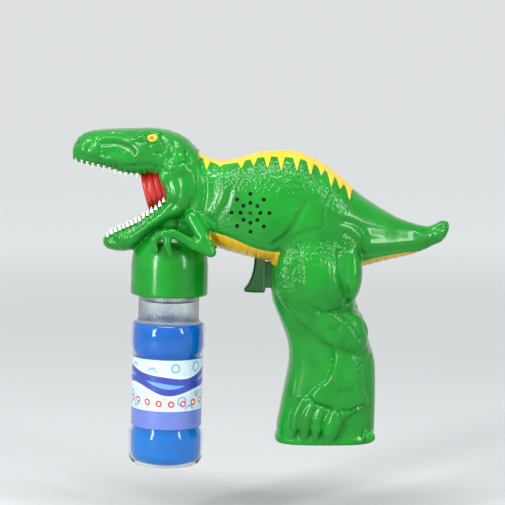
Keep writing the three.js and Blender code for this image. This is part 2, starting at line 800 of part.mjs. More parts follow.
const capTopPoint = new THREE.Vector3(0, 0, capTop + 2).applyMatrix4(bottleFrame);
const loopY = rotorLeft + 1.4 + tubeRadius;
const ringTop = ringFront.clone();
ringTop.addScaledVector(forward, -ringDepth / 2).addScaledVector(throatUp, ringRadius);
const loopPoint = (degrees) => {
  const turn = THREE.MathUtils.degToRad(degrees);
  return [pump.x + tubeLoop * Math.cos(turn), loopY, pump.z + tubeLoop * Math.sin(turn)];
};
const tubeRoute = [
  [capTopPoint.x, 0, capTopPoint.z],
  [capTopPoint.x + 0.2, 0, capTopPoint.z + 2.8],
  [-75, 2.5, 55.5],
  [-70, 4.8, 62],
  [-63, 6.6, 60.6],
  [-54, 7.6, 57],
  [-40, 7.5, 53.8],
  [-26, 4.5, 52.4],
  loopPoint(-85),
  loopPoint(-45),
  loopPoint(0),
  loopPoint(45),
  loopPoint(85),
  [-26, 5, 79],
  [-33, 7, 84.5],
  [-46, 7, 87.5],
  [-57, 6, 88.8],
  [-64, 4.6, 91.4],
  [-69, 2.8, 95.8],
  [-73.5, 1, 98.2],
  [ringTop.x + 0.9, 0, ringTop.z + 3.2],
];
add("solution_tube", cut(tube(tubeRoute, tubeRadius, 6, 46), tube(tubeRoute, tubeBore, 4, 46)), clear);

// ---- Throat: duct, bubble ring, liner and wiper ----

// The duct goes from the fan's rectangular outlet on one side to the round ring on the seam.
function duct(inset) {
  const outletTop = fan.z + scrollStart + scrollGrowth;
  const outletLow = fan.z + scrollStart / 2;
  const count = 16;
  const middleY = (fanLeft + fanRight) / 2;
  const middleZ = (outletTop + outletLow) / 2;
  const start = new THREE.Vector3(outletX - gap + (inset ? 1 : 0), middleY, middleZ);
  const steps = 5;
  return skin(
    Array.from({ length: steps + 1 }, (_, s) => {
      const share = s / steps;
      const ease = share * share * (3 - 2 * share);
      const extra = inset && s === steps ? 1 : 0;
      const centre = start.clone().lerp(ductEnd, share);
      centre.y = start.y * (1 - ease);
      const tilt = throatTilt * ease;
      const halfSide = THREE.MathUtils.lerp(fanDepth / 2, ringRadius - 0.4, ease) - inset;
      const halfUp = THREE.MathUtils.lerp((outletTop - outletLow) / 2, ringRadius - 0.4, ease) - inset;
      const power = THREE.MathUtils.lerp(5, 2, ease);
      return Array.from({ length: count }, (_, i) => {
        const turn = (2 * Math.PI * i) / count;
        const round = (v) => Math.sign(v) * Math.abs(v) ** (2 / power);
        const y = halfSide * round(Math.cos(turn));
        const up = halfUp * round(Math.sin(turn));
        return [
          centre.x - up * Math.sin(tilt) + extra * forward.x,
          centre.y + y,
          centre.z + up * Math.cos(tilt) + extra * forward.z,
        ];
      });
    }),
  );
}
add("air_duct", cut(duct(0), duct(1.1)), white);

const throat = new THREE.Group();
throat.applyMatrix4(throatFrame);
toy.add(throat);
const ringZ = -linerLength - wiperGap;
function bubbleRing() {
  const hoop = turned([
    [ringRadius - 2.4, ringZ - ringDepth],
    [ringRadius - 0.2, ringZ - ringDepth],
    [ringRadius, ringZ - ringDepth + 0.4],
    [ringRadius, ringZ],
    [ringRadius - 1.2, ringZ],
    [ringRadius - 2.4, ringZ - 1.4],
    [ringRadius - 2.4, ringZ - ringDepth],
  ]);
  // In the throat's frame the ring's top is on +X.
  const middle = ringZ - ringDepth / 2;
  const nippleRoot = new THREE.Vector3(ringRadius - 0.8, 0, middle);
  const nippleEnd = new THREE.Vector3(ringRadius + 1.2, 0, middle);
  return joined(hoop, bar(nippleRoot, nippleEnd, 1.9, 8));
}
add("bubble_ring", bubbleRing(), red, throat);

function mouthLiner() {
  const ribs = 3;
  const bore = linerRadius - 1.8;
  const low = linerRadius - 0.9; // between the ribs
  const flangeFront = -linerLength + 1.4;
  const profile = [[bore, -linerLength]];
  profile.push([flangeRadius, -linerLength], [flangeRadius, flangeFront], [low, flangeFront]);
  for (let i = 0; i < ribs; i++) {
    const start = -linerLength + 2 + (i * (linerLength - 2.4)) / ribs;
    profile.push([low, start], [linerRadius, start + 0.3], [linerRadius, start + 1], [low, start + 1.3]);
  }
  profile.push([low, 0], [bore, 0], [bore, -linerLength]);
  return turned(profile);
}
add("mouth_liner", mouthLiner(), red, throat);

// The wiper lever swings about an axis across the toy and carries a bar over the front of the ring.
const armLeft = 10.8;
const armRight = 12.4;
function wiper() {
  const parked = throatTilt - wiperTurn / 2;
  const towards = (turn, reach) =>
    new THREE.Vector3(wiperPivot.x - reach * Math.cos(turn), 0, wiperPivot.z - reach * Math.sin(turn));
  const tip = towards(parked, wiperReach);
  const tail = new THREE.Vector3(
    wiperPivot.x - wiperTail * Math.sin(wiperTurn / 2),
    0,
    wiperPivot.z - wiperTail * Math.cos(wiperTurn / 2),
  );
  const link = (from, to, half) => {
    const along = new THREE.Vector3().subVectors(to, from).normalize();
    const out = new THREE.Vector3(along.z, 0, -along.x).multiplyScalar(half);
    const corner = (p, s) => [p.x + s * out.x, p.z + s * out.z];
    return plate([corner(from, 1), corner(to, 1), corner(to, -1), corner(from, -1)], armLeft, armRight);
  };
  return cut(
    joined(
      link(wiperPivot, tip, 1),
      link(wiperPivot, tail, 1.3),
      across(wiperPivot.x, wiperPivot.z, armLeft, armRight, 2.2),
      across(tail.x, tail.z, armLeft, 14.6, 0.9, 10),
      across(tip.x, tip.z, -8.5, armRight, 0.6, 8),
    ),
    across(wiperPivot.x, wiperPivot.z, 5, 20, shaftRadius + 0.05, 12),
  );
}
add("wiper", wiper(), white);
add("wiper_pin", across(wiperPivot.x, wiperPivot.z, armLeft + 0.1, 15.4, shaftRadius, 12), steel);

// ---- Trigger, its spring, pull bar and switch ----

const triggerBack = -16;
const springZ = 40.5;
function trigger() {
  const finger = plate(
    [
      [-38.2, 47.2],
      [-38.4, 43],
      [-38.9, 39],
      [-40.4, 34.8],
      [-43.2, 30.9],
      [-42.9, 29.6],
      [-34, 29.2],
      [-33.4, 30.5],
      [-33.4, 47.2],
    ],
    -triggerHalf,
    triggerHalf,
  );
  const slider = box(-34, triggerBack, -3.5, 3.5, 31.5, 44.5);
  const holeStart = new THREE.Vector3(triggerBack - 4, 0, springZ);
  const holeEnd = new THREE.Vector3(triggerBack + 1, 0, springZ);
  const springHole = bar(holeStart, holeEnd, 3.2, 12);
  const hook = box(-24.2, -20.3, 0, 5, 33, 37);
  return cut(joined(finger, slider), springHole, hook);
}
add("trigger", trigger(), green);

const forkY = [12.8, 14.4];
function pullBar() {
  const pin = new THREE.Vector3(
    wiperPivot.x - wiperTail * Math.sin(wiperTurn / 2),
    0,
    wiperPivot.z - wiperTail * Math.cos(wiperTurn / 2),
  );
  const slotHalf = 1.25;
  const outline = [
    [pin.x - slotHalf - 1.6, pin.z + 2.4],
    [pin.x - slotHalf - 1.6, pin.z - 5],
    [-57, 62.5],
    [-55, 57.8],
    [-24, 57.8],
    [-24, 33.4],
    [-20.5, 33.4],
    [-20.5, 61.2],
    [-53.5, 61.2],
    [pin.x + slotHalf + 1.6, pin.z - 4.4],
    [pin.x + slotHalf + 1.6, pin.z + 2.4],
    [pin.x + slotHalf, pin.z + 2.4],
    [pin.x + slotHalf, pin.z - 2.4],
    [pin.x - slotHalf, pin.z - 2.4],
    [pin.x - slotHalf, pin.z + 2.4],
  ];
  return joined(plate(outline, forkY[0], forkY[1]), box(-23.9, -20.6, 0.4, forkY[1], 33.4, 36.6));
}
add("pull_bar", pullBar(), white);

function coilSpring(from, to, z, radius, wire, turns) {
  const steps = turns * 8;
  const points = Array.from({ length: steps + 1 }, (_, i) => {
    const turn = (2 * Math.PI * i) / 8;
    return [from + ((to - from) * i) / steps, radius * Math.cos(turn), z + radius * Math.sin(turn)];
  });
  return tube(points, wire, 4, steps);
}
add("trigger_spring", coilSpring(triggerBack - 3.4, springSeatX - 0.7, springZ, 2.4, 0.4, 6), steel);

const switchTop = 34;
const switchBase = cut(
  box(-17, -7, -3.2, 3.2, boxTop + 0.4, 22),
  box(-15.6, -14.6, -2.5, 2.5, 18, 23),
  box(-9.4, -8.4, -2.5, 2.5, 18, 23),
);
add("switch_base", switchBase, black);
add("switch_leaf", box(-15.4, -14.8, -2.2, 2.2, 18.4, switchTop), brass);
add("switch_contact", box(-9.2, -8.6, -2.2, 2.2, 18.4, switchTop - 2), brass);

// ---- Wires ----

const wireY = motorBack - 2;
const wire = (points) => tube(points, 0.65, 5, 22);
add("wire_red", wire([
  [fan.x + motorHalfWidth + 1, wireY, 74],
  [-30, wireY, 74.5],
  [-22, wireY, 70],
  [-12, wireY, 60],
  [-6, 15.5, 46],
  [-1, 11, 32],
  [0, 8, 22],
  [0, 5, boxTop + 1],
]), red);
add("wire_black", wire([
  [fan.x + motorHalfWidth + 1, wireY, 67],
  [-29, wireY, 66],
  [-20, wireY, 57],
  [-13, 15.5, 46],
  [-9, 10, 32],
  [-6.2, 4, 24],
  [-6.2, 1, 21],
]), black);

// ---- Bottle and its cap ----

const bottle = new THREE.Group();
bottle.applyMatrix4(bottleFrame);
toy.add(bottle);
add(
  "bottle_cap",
  cut(
    joined(
      turned([
        [0, 2],
        [capRadius, 2],
        [capRadius, ledgeHigh + gap],
        [flangeEdge, ledgeHigh + gap],
        [flangeEdge, ledgeHigh + gap + capWall],
        [capRadius, ledgeHigh + gap + capWall],
        [capRadius, capTop],
        [0, capTop],
      ]),
      turned([[0, capTop - 0.5], [3.4, capTop - 0.5], [3.4, capTop + 4], [0, capTop + 4]], 12),
    ),
    turned([[0, 1], [capBore, 1], [capBore, capTop - 2], [0, capTop - 2]]),
    turned([[0, capTop - 3], [tubeBore, capTop - 3], [tubeBore, capTop + 6], [0, capTop + 6]], 10),
    bar(new THREE.Vector3(0, 0, capTop + 1), new THREE.Vector3(0, 0, capTop + 6), tubeRadius + gap),
  ),
  green,
  bottle,
);
const neckTop = capTop - 2 - 1.8;
const gasketBase = neckTop + gap;
const gasketTop = capTop - 2 - gap;
const gasketBore = neckRadius - 3.8;
const gasketRadius = neckRadius + 0.4;
const gasketOutline = [
  [gasketBore, gasketBase],
  [gasketRadius, gasketBase],
  [gasketRadius, gasketTop],
  [gasketBore, gasketTop],
  [gasketBore, gasketBase],
];
add("cap_gasket", turned(gasketOutline), white, bottle);
add(
  "dip_tube",
  turned(
    [
      [tubeBore, -bottleDepth + 5],
      [tubeRadius, -bottleDepth + 5],
      [tubeRadius, capTop - 2.3],
      [tubeBore, capTop - 2.3],
      [tubeBore, -bottleDepth + 5],
    ],
    10,
  ),
  clear,
  bottle,
);

// The bottle from its base up: radius and height below the socket's rim, less an inset.
const waist = bottleRadius - 1.3;
const shoulderWidth = 3;
const labelTop = -30.5;
const labelBottom = -66;
function bottleOutline(inset) {
  return [
    [0, -bottleDepth + inset],
    [14.5 - inset, -bottleDepth + inset],
    [17.6 - inset, -bottleDepth + 1.6 + inset / 2],
    [bottleRadius - inset, -bottleDepth + 6],
    [bottleRadius - inset, labelBottom - 3],
    [waist - inset, labelBottom],
    [waist - inset, labelTop],
    [bottleRadius - inset, labelTop + 3],
    [bottleRadius - inset, -17],
    [17.4 - inset, -13.4 - inset / 2],
    [neckRadius + shoulderWidth - inset, -12.2 - inset],
  ];
}
const liquidTop = -13.5;
function bottleBody() {
  const outer = [
    ...bottleOutline(0),
    [neckRadius + shoulderWidth, -1.6],
    [neckRadius, -1],
    [neckRadius, neckTop],
    [0, neckTop],
  ];
  const neckBore = neckRadius - bottleWall;
  const inner = [...bottleOutline(bottleWall), [neckBore, -8], [neckBore, neckTop + 1], [0, neckTop + 1]];
  return cut(turned(outer, 24), turned(inner, 24));
}
add("bottle", bottleBody(), clear, bottle);
const liquidOutline = bottleOutline(bottleWall + gap).filter(([, h]) => h < -14);
const liquidRadius = 16.6 - bottleWall - gap;
add(
  "bubble_solution",
  cut(
    turned([...liquidOutline, [liquidRadius, liquidTop - 1.4], [0, liquidTop - 1.4]], 24),
    bar(new THREE.Vector3(0, 0, -bottleDepth + 3.5), new THREE.Vector3(), tubeRadius + gap, 10),
  ),
  blue,
  bottle,
);
add(
  "bottle_label",
  turned(
    [
      [waist + gap, labelBottom + 0.5],
      [waist + gap + 0.4, labelBottom + 0.5],
      [waist + gap + 0.4, labelTop - 0.5],
      [waist + gap, labelTop - 0.5],
      [waist + gap, labelBottom + 0.5],
    ],
    24,
  ),
  labelPaper,
  bottle,
);

export default toy;
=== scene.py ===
import json
import math

import bpy
import numpy as np
from mathutils import Matrix, Vector, noise


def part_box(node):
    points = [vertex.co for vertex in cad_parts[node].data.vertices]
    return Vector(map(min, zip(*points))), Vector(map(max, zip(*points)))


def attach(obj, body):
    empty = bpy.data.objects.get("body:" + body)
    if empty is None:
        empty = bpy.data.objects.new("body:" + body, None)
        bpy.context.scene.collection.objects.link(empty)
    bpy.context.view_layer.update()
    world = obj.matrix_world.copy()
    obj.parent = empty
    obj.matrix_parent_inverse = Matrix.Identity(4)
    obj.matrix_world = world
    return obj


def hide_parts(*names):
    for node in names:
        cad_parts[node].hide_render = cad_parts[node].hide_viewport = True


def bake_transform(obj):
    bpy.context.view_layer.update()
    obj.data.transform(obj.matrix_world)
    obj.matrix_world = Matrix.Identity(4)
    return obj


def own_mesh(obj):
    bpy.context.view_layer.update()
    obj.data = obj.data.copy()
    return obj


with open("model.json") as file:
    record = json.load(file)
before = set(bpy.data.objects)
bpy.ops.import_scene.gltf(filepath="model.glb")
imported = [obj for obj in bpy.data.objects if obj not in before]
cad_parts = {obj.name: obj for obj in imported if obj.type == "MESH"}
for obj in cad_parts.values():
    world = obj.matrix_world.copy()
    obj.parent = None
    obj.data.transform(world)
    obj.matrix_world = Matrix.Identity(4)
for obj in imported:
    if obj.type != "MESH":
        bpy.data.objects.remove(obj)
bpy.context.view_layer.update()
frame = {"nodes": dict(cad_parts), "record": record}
mm = 0.001
nodes = frame["nodes"]
print("frame loaded,", len(nodes), "nodes")


# small tools

def clearSelection():
    if bpy.context.object and bpy.context.object.mode != "OBJECT":
        bpy.ops.object.mode_set(mode="OBJECT")
    bpy.ops.object.select_all(action="DESELECT")


def activate(*things):
    clearSelection()
    for thing in things:
        thing.select_set(True)
    bpy.context.view_layer.objects.active = things[0]


def settle(thing, name=None):
    # place, turn and scale go into the mesh
    activate(thing)
    bpy.ops.object.transform_apply(location=True, rotation=True, scale=True)
    if name:
        thing.name = name
        thing.data.name = name
    return thing


def addModifier(thing, kind, **settings):
    activate(thing)
    modifier = thing.modifiers.new(kind.lower(), kind)
    for key, value in settings.items():
        setattr(modifier, key, value)
    bpy.ops.object.modifier_apply(modifier=modifier.name)
    return thing


def joinAll(things, name):
    activate(*things)
    if len(things) > 1:
        bpy.ops.object.join()
    made = bpy.context.view_layer.objects.active
    made.name = name
    made.data.name = name
    return made


def editAll():
    bpy.ops.object.mode_set(mode="EDIT")
    bpy.ops.mesh.select_all(action="SELECT")


def closeEdit():
    # faces turned outwards, back to object mode
    bpy.ops.mesh.select_all(action="SELECT")
    bpy.ops.mesh.normals_make_consistent(inside=False)
    bpy.ops.object.mode_set(mode="OBJECT")


def copyOf(thing, name):
    made = thing.copy()
    made.data = thing.data.copy()
    made.name = name
    made.data.name = name
    bpy.context.scene.collection.objects.link(made)
    return made


def drop(*things):
    for thing in things:
        bpy.data.objects.remove(thing)


def combine(thing, tool, how="DIFFERENCE", keep=False):
    addModifier(thing, "BOOLEAN", operation=how, object=tool, solver="MANIFOLD")
    if not keep:
        drop(tool)
    return thing


def smoothShade(thing, degrees=32):
    activate(thing)
    bpy.ops.object.shade_smooth_by_angle(angle=math.radians(degrees))
    return thing


def points(thing):
    flat = np.empty(len(thing.data.vertices) * 3)
    thing.data.vertices.foreach_get("co", flat)
    return flat.reshape(-1, 3)


def setPoints(thing, co):
    thing.data.vertices.foreach_set("co", co.ravel())
    thing.data.update()


def normals(thing):
    flat = np.empty(len(thing.data.vertices) * 3)
    thing.data.vertex_normals.foreach_get("vector", flat)
    return flat.reshape(-1, 3)


def storeMarks(thing, **marks):
    # numbers kept on the points, which the material reads
    for name, values in marks.items():
        mark = thing.data.attributes.new(name, "FLOAT", "POINT")
        mark.data.foreach_set("value", values.astype(np.float32))


def middleOf(node):
    low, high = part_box(node)
    return (low + high) / 2


# shapes as by hand: a primitive, then extrude, move and resize

def loft(name, axis, stations, power=2.0, inset=0.0, sides=36):
    # stations are (place, low, high, half width) in mm; the ring is extruded from one to the next
    rows = [list(s) for s in stations]
    rows[0][0] += inset
    rows[-1][0] -= inset
    rows = [(p, (a + b) / 2, max((b - a) / 2 - inset, 0.4), max(h - inset, 0.4)) for p, a, b, h in rows]
    clearSelection()
    bpy.ops.mesh.primitive_circle_add(vertices=sides, radius=1, fill_type="NGON")
    made = bpy.context.object
    place, middle, tall, half = rows[0]
    co = points(made)
    across = np.sign(co[:, 0]) * np.abs(co[:, 0]) ** (2 / power)
    along = np.sign(co[:, 1]) * np.abs(co[:, 1]) ** (2 / power)
    steady = np.full(len(co), place)
    if axis == "X":
        setPoints(made, np.stack([steady, across * half, middle + along * tall], 1) * mm)
    else:
        setPoints(made, np.stack([middle + along * tall, across * half, steady], 1) * mm)
    editAll()
    for before, after in zip(rows, rows[1:]):
        step = after[0] - before[0]
        shift = after[1] - before[1]
        taller = after[2] / before[2]
        wider = after[3] / before[3]
        if axis == "X":
            move = Vector((step, 0, shift)) * mm
            centre = Vector((after[0], 0, after[1])) * mm
            grow = (1, wider, taller)
        else:
            move = Vector((shift, 0, step)) * mm
            centre = Vector((after[1], 0, after[0])) * mm
            grow = (taller, wider, 1)
        bpy.ops.mesh.extrude_region_move(TRANSFORM_OT_translate={"value": move})
        bpy.ops.transform.resize(value=grow, center_override=centre)
    closeEdit()
    made.name = name
    return made


def ball(centre, size, sides=24):
    clearSelection()
    bpy.ops.mesh.primitive_uv_sphere_add(
        segments=sides, ring_count=sides // 2, radius=1, location=Vector(centre) * mm,
    )
    made = bpy.context.object
    made.scale = Vector(size) * mm
    return settle(made)


def taper(start, end, startRadius, endRadius, flat=1.0, sides=20):
    # a round bar that narrows; flat squeezes it across the toy
    a = Vector(start) * mm
    b = Vector(end) * mm
    clearSelection()
    bpy.ops.mesh.primitive_cone_add(
        vertices=sides, radius1=startRadius * mm, radius2=endRadius * mm, depth=(b - a).length
    )
    made = bpy.context.object
    made.rotation_mode = "QUATERNION"
    made.rotation_quaternion = Vector((0, 0, 1)).rotation_difference(b - a)
    settle(made)
    co = points(made)
    co[:, 1] *= flat
    co += np.array((a + b) / 2)
    setPoints(made, co)
    return made


def limb(places, sizes, flat=1.0):
    # tapers from place to place with a ball at each, so no flat end shows
    parts = [taper(a, b, r, q, flat) for a, b, r, q in zip(places, places[1:], sizes, sizes[1:])]
    return parts + [ball(place, (size, size * flat, size), 16) for place, size in zip(places, sizes)]


def rod(x, z, y0, y1, radius, sides=24):
    # a round bar straight across the toy
    clearSelection()
    bpy.ops.mesh.primitive_cylinder_add(
        vertices=sides, radius=radius * mm, depth=abs(y1 - y0) * mm,
        location=Vector((x, (y0 + y1) / 2, z)) * mm, rotation=(math.pi / 2, 0, 0),
    )
    return settle(bpy.context.object)


def block(x0, x1, y0, y1, z0, z1):
    clearSelection()
    bpy.ops.mesh.primitive_cube_add(size=1, location=Vector((x0 + x1, y0 + y1, z0 + z1)) * mm / 2)
    made = bpy.context.object
    made.scale = Vector((x1 - x0, y1 - y0, z1 - z0)) * mm
    return settle(made)


def turnProfile(name, profile, matrix, steps=72):
    # profile is (radius, height) in mm: one vertex drawn along it, then spun round its own Z
    clearSelection()
    bpy.ops.mesh.primitive_plane_add(size=0.001)
    made = bpy.context.object
    bpy.ops.object.mode_set(mode="EDIT")
    bpy.ops.mesh.select_mode(type="VERT")
    bpy.ops.mesh.merge(type="CENTER")                            # the plane shrinks to one vertex
    bpy.ops.transform.translate(value=(profile[0][0] * mm, 0, profile[0][1] * mm))
    for (r0, h0), (r1, h1) in zip(profile, profile[1:]):
        step = ((r1 - r0) * mm, 0, (h1 - h0) * mm)
        bpy.ops.mesh.extrude_region_move(TRANSFORM_OT_translate={"value": step})
    bpy.ops.mesh.select_all(action="SELECT")
    bpy.ops.mesh.spin(steps=steps, angle=2 * math.pi, center=(0, 0, 0), axis=(0, 0, 1))
    bpy.ops.mesh.select_all(action="SELECT")
    bpy.ops.mesh.remove_doubles(threshold=0.00001)
    closeEdit()
    made.name = name
    made.data.name = name
    made.data.transform(matrix)
    return made


def standAt(point, direction):
    # carries +Z onto a direction in the XZ plane
    up = Vector(direction).normalized()
    side = Vector((0, 1, 0))
    first = side.cross(up).normalized()
    turn = Matrix((first, side, up)).transposed().to_4x4()
    return Matrix.Translation(Vector(point) * mm) @ turn


# sculpting strokes: soft pushes along lines drawn in the side view

def lineDistance(x, z, line):
    best = np.full(len(x), 1e9)
    for (ax, az), (bx, bz) in zip(line, line[1:]):
        dx, dz = bx - ax, bz - az
        share = np.clip(((x - ax) * dx + (z - az) * dz) / (dx * dx + dz * dz), 0, 1)
        best = np.minimum(best, np.hypot(x - ax - share * dx, z - az - share * dz))
    return best


def smoothLine(line, steps=6):
    # a rounded line through given points
    p = [line[0]] + list(line) + [line[-1]]
    out = []
    for i in range(1, len(p) - 2):
        for s in range(steps):
            t = s / steps
            out.append(tuple(
                0.5 * (2 * p[i][k] + (p[i + 1][k] - p[i - 1][k]) * t
                       + (2 * p[i - 1][k] - 5 * p[i][k] + 4 * p[i + 1][k] - p[i + 2][k]) * t * t
                       + (3 * p[i][k] - p[i - 1][k] - 3 * p[i + 1][k] + p[i + 2][k]) * t ** 3)
                for k in (0, 1)))
    return out + [line[-1]]


def stroke(co, push, line, width, height, outward=3.0):
    # pushes both sides of the toy alike, only where the skin lies more than outward mm from the seam
    x, y, z = co[:, 0] / mm, np.abs(co[:, 1]) / mm, co[:, 2] / mm
    far = lineDistance(x, z, smoothLine(line) if len(line) > 2 else line)
    push += height * mm * np.exp(-((far / width) ** 2)) * (y > outward)


def insideOutline(x, z, line):
    # even-odd rule over the closed outline
    inside = np.zeros(len(x), bool)
    for (ax, az), (bx, bz) in zip(line, line[1:] + line[:1]):
        if az != bz:
            inside ^= ((az > z) != (bz > z)) & (x < (bx - ax) * (z - az) / (bz - az) + ax)
    return inside


def embossed(x, z, outline, height, rounding):
    # a flat-topped relief with a rounded rim, in mm
    line = smoothLine(outline + outline[:1], 4)
    depth = lineDistance(x, z, line) * np.where(insideOutline(x, z, line[:-1]), 1, -1)
    share = np.clip(depth / rounding, 0, 1)
    return height * np.sqrt(np.clip(1 - (1 - share) ** 2, 0, 1))


def bead(x, z, line, sizes, flat=1.0):
    # a rounded finger lying on the side: a row of balls whose size runs along sizes
    line = smoothLine(line, 8)
    height = np.zeros(len(x))
    for i, (px, pz) in enumerate(line):
        size = np.interp(i / (len(line) - 1), np.linspace(0, 1, len(sizes)), sizes)
        height = np.maximum(height, np.sqrt(np.clip(size ** 2 - (x - px) ** 2 - (z - pz) ** 2, 0, None)))
    return height * flat


# the dinosaur skin

skin = {
    "voxel": 0.63,
    "smoothing": 4,
    "wall": 2.0,
    "seam": 0.12,
    "headPower": 2.5,
    "torsoPower": 2.7,
    "gripPower": 3.2,
    "pebble": 2.1,
    "pebbleHeight": 0.42,
}

skullStations = [
    (-128, 97.2, 100.6, 5.5), (-127.3, 95.6, 103.2, 8), (-125.5, 94.3, 106.2, 10.2),
    (-122.5, 93.4, 108.8, 12), (-118, 92.4, 110.1, 13.2), (-112, 91.2, 110.7, 14),
    (-106, 89.4, 111, 14.6), (-101, 88, 111.1, 15.2), (-95.5, 87.5, 111.2, 16.2),
    (-91, 88.2, 111.4, 17), (-86, 88, 111.2, 17.5), (-81, 86, 110.4, 17.6), (-75.5, 84, 108.4, 17.4),
    (-71, 83, 105.6, 16.8), (-68, 82, 102.6, 16), (-65.5, 82, 99.8, 14.8),
]
jowlStations = [
    (-81.6, 75.5, 88.6, 15.5), (-80.4, 70.5, 92.5, 17.2), (-78, 67.3, 96.5, 18.2),
    (-74, 66.8, 98.5, 18.7), (-70, 68.6, 98.5, 18.8), (-67.2, 72, 95.6, 18.5), (-66.3, 74, 93.6, 17.8),
]
jawStations = [
    (-113.2, 53.6, 56.4, 5.2), (-112.4, 52, 58, 7.6), (-110.5, 50.9, 59.8, 9.6), (-107, 50.1, 61.2, 11),
    (-103, 49.8, 63, 12.2), (-99, 50.6, 64.9, 13), (-96, 53, 66.2, 13.6), (-92.5, 56.5, 68.8, 14.3),
    (-88.5, 59.6, 71.2, 15.2), (-84.5, 62.4, 74, 16.2), (-80, 65, 77.5, 17.2), (-75, 66.5, 82, 17.8),
    (-70, 69, 84, 17.6),
]
torsoStations = [
    (-76, 63, 96, 12.5), (-70, 58.6, 98.4, 15.6), (-65.5, 56.5, 98.2, 17), (-62, 55, 96.8, 18),
    (-59, 53.6, 95.5, 18.8), (-55, 51.2, 94.6, 20), (-50, 49.6, 95, 21.4), (-45, 48.3, 96.4, 22.6),
    (-40, 46.9, 98, 23.6), (-35, 45.7, 99.2, 24.2), (-30, 45.2, 99.8, 24.5), (-22, 44.8, 100, 24.5),
    (-15, 44.5, 99.1, 24.3), (-10, 44.2, 96.6, 24), (-5, 43.8, 94, 23.4), (0, 43.2, 90.5, 22.6),
    (5, 42.8, 86.5, 21.6), (10, 42.4, 82, 20.2), (15, 42.2, 78, 18.6), (20, 43.4, 74.6, 16.8),
    (26, 45, 70.8, 14.6), (32.5, 46.4, 67, 12), (38, 47.6, 64.8, 10), (43, 49, 63.2, 8.4),
    (48.5, 51.4, 62, 7), (51.5, 53, 63, 6), (55, 54.2, 65, 5), (57.5, 57, 65, 4),
    (58.9, 60.2, 64.2, 2.6),
]
gripStations = [
    (-45.6, -27.2, 21.7, 17), (-44.9, -27.9, 22.4, 17.9), (-42.6, -27.9, 22.5, 18),
    (-42, -27, 22, 17.2), (-37.5, -27, 22.3, 17.2), (-30, -25.5, 22.5, 17.4), (-22.5, -24, 22.6, 17.6),
    (-15, -22.5, 22.6, 17.8), (-10, -21.5, 22.5, 18), (-5, -20.8, 22.2, 18.2), (0, -20.8, 21, 18.3),
    (5, -21.5, 19.3, 18.4), (10, -23, 17.8, 18.6), (15, -25, 16.3, 18.9), (20, -27, 14.2, 19.3),
    (25, -29, 12.6, 19.9), (30, -29.8, 12.3, 20.6), (36, -30, 13.2, 21.6), (44, -30, 14, 22.4),
    (52, -29, 13.5, 22.4), (60, -26, 11, 20),
]

tilt = math.radians(1.6)
bottleUp = Vector((math.sin(tilt), 0, math.cos(tilt)))
rimPoint = (-80.8, 0, 28)
bottleFrame = standAt(rimPoint, bottleUp)
throatTilt = math.radians(13.3)
forward = Vector((-math.cos(throatTilt), 0, -math.sin(throatTilt)))
throatFrame = standAt((-92.2, 0, 79.8), forward)

socketOuter = [
    (0, 0), (18.6, 0), (19.15, 0.25), (19.35, 0.9), (19.3, 2.2), (19.25, 8), (19.2, 15), (18.8, 19),
    (17.6, 23.4), (15.6, 27.4), (12.6, 31), (8, 34.4), (0, 36),
]
socketInner = [(0, -6), (17.35, -6), (17.35, 0), (17.25, 17), (15.2, 22), (9.8, 29), (0, 31)]


def armParts(side):
    # upper arm, forearm over the socket, hand and two claws
    parts = [
        ball((-68.4, side * 15.4, 67.0), (4.4, 4.0, 4.4)),
        taper((-68.2, side * 15.6, 67.0), (-62.6, side * 19.0, 57.6), 4.0, 3.7),
        taper((-62.6, side * 19.0, 57.6), (-58.8, side * 20.2, 51.2), 3.7, 2.3),
        ball((-62.9, side * 19.0, 58.0), (3.7, 3.7, 3.9)),
        ball((-59.2, side * 20.3, 50.9), (2.7, 2.5, 2.5)),
        taper((-59.2, side * 20.3, 50.9), (-68, side * 20.4, 55.0), 2.6, 2.7),
        ball((-66.0, side * 20.6, 54.2), (4.4, 2.6, 2.7)),
        taper((-68, side * 20.4, 55.0), (-77.2, side * 20.0, 60.2), 2.7, 2.2),
        ball((-77.8, side * 19.9, 60.4), (2.8, 2.3, 2.3)),
        taper((-78.2, side * 19.9, 60.5), (-85.4, side * 18.4, 59.2), 2.3, 2.2),
        ball((-81.6, side * 19.4, 59.8), (3.8, 2.4, 2.4)),
    ]
    for start, bend, end in (
        ((-84.8, 18.4, 59.3), (-87.3, 17.7, 56.6), (-86.0, 18.4, 51.6)),
        ((-80.4, 19.8, 58.4), (-80.6, 20.4, 55.0), (-78.8, 20.6, 49.4)),
    ):
        a, b, c = [(p[0], side * p[1], p[2]) for p in (start, bend, end)]
        parts += [taper(a, b, 2.2, 2.0), ball(b, (2.0, 2.0, 2.0), 16)]
        parts += [taper(b, c, 2.0, 1.1), ball(c, (1.1, 1.1, 1.3), 16)]
    return parts


def legParts(side):
    # the thigh's muscles stand out of the hip; the rest of the leg is embossed on the grip later
    return [
        ball((-7.5, side * 16.2, 40.5), (20.8, 8.6, 21.5), 32),
        ball((-19.5, side * 17.0, 42.0), (8.4, 6.2, 12.5)),
        ball((-9.5, side * 18.2, 40.0), (8.8, 6.8, 15.0)),
        ball((1.2, side * 17.8, 41.0), (5.6, 7.2, 14.5)),
        ball((9.2, side * 16.4, 41.0), (5.8, 7.0, 14.5)),
        ball((8.6, side * 15.2, 10.4), (9.6, 5.0, 10.5)),
    ]


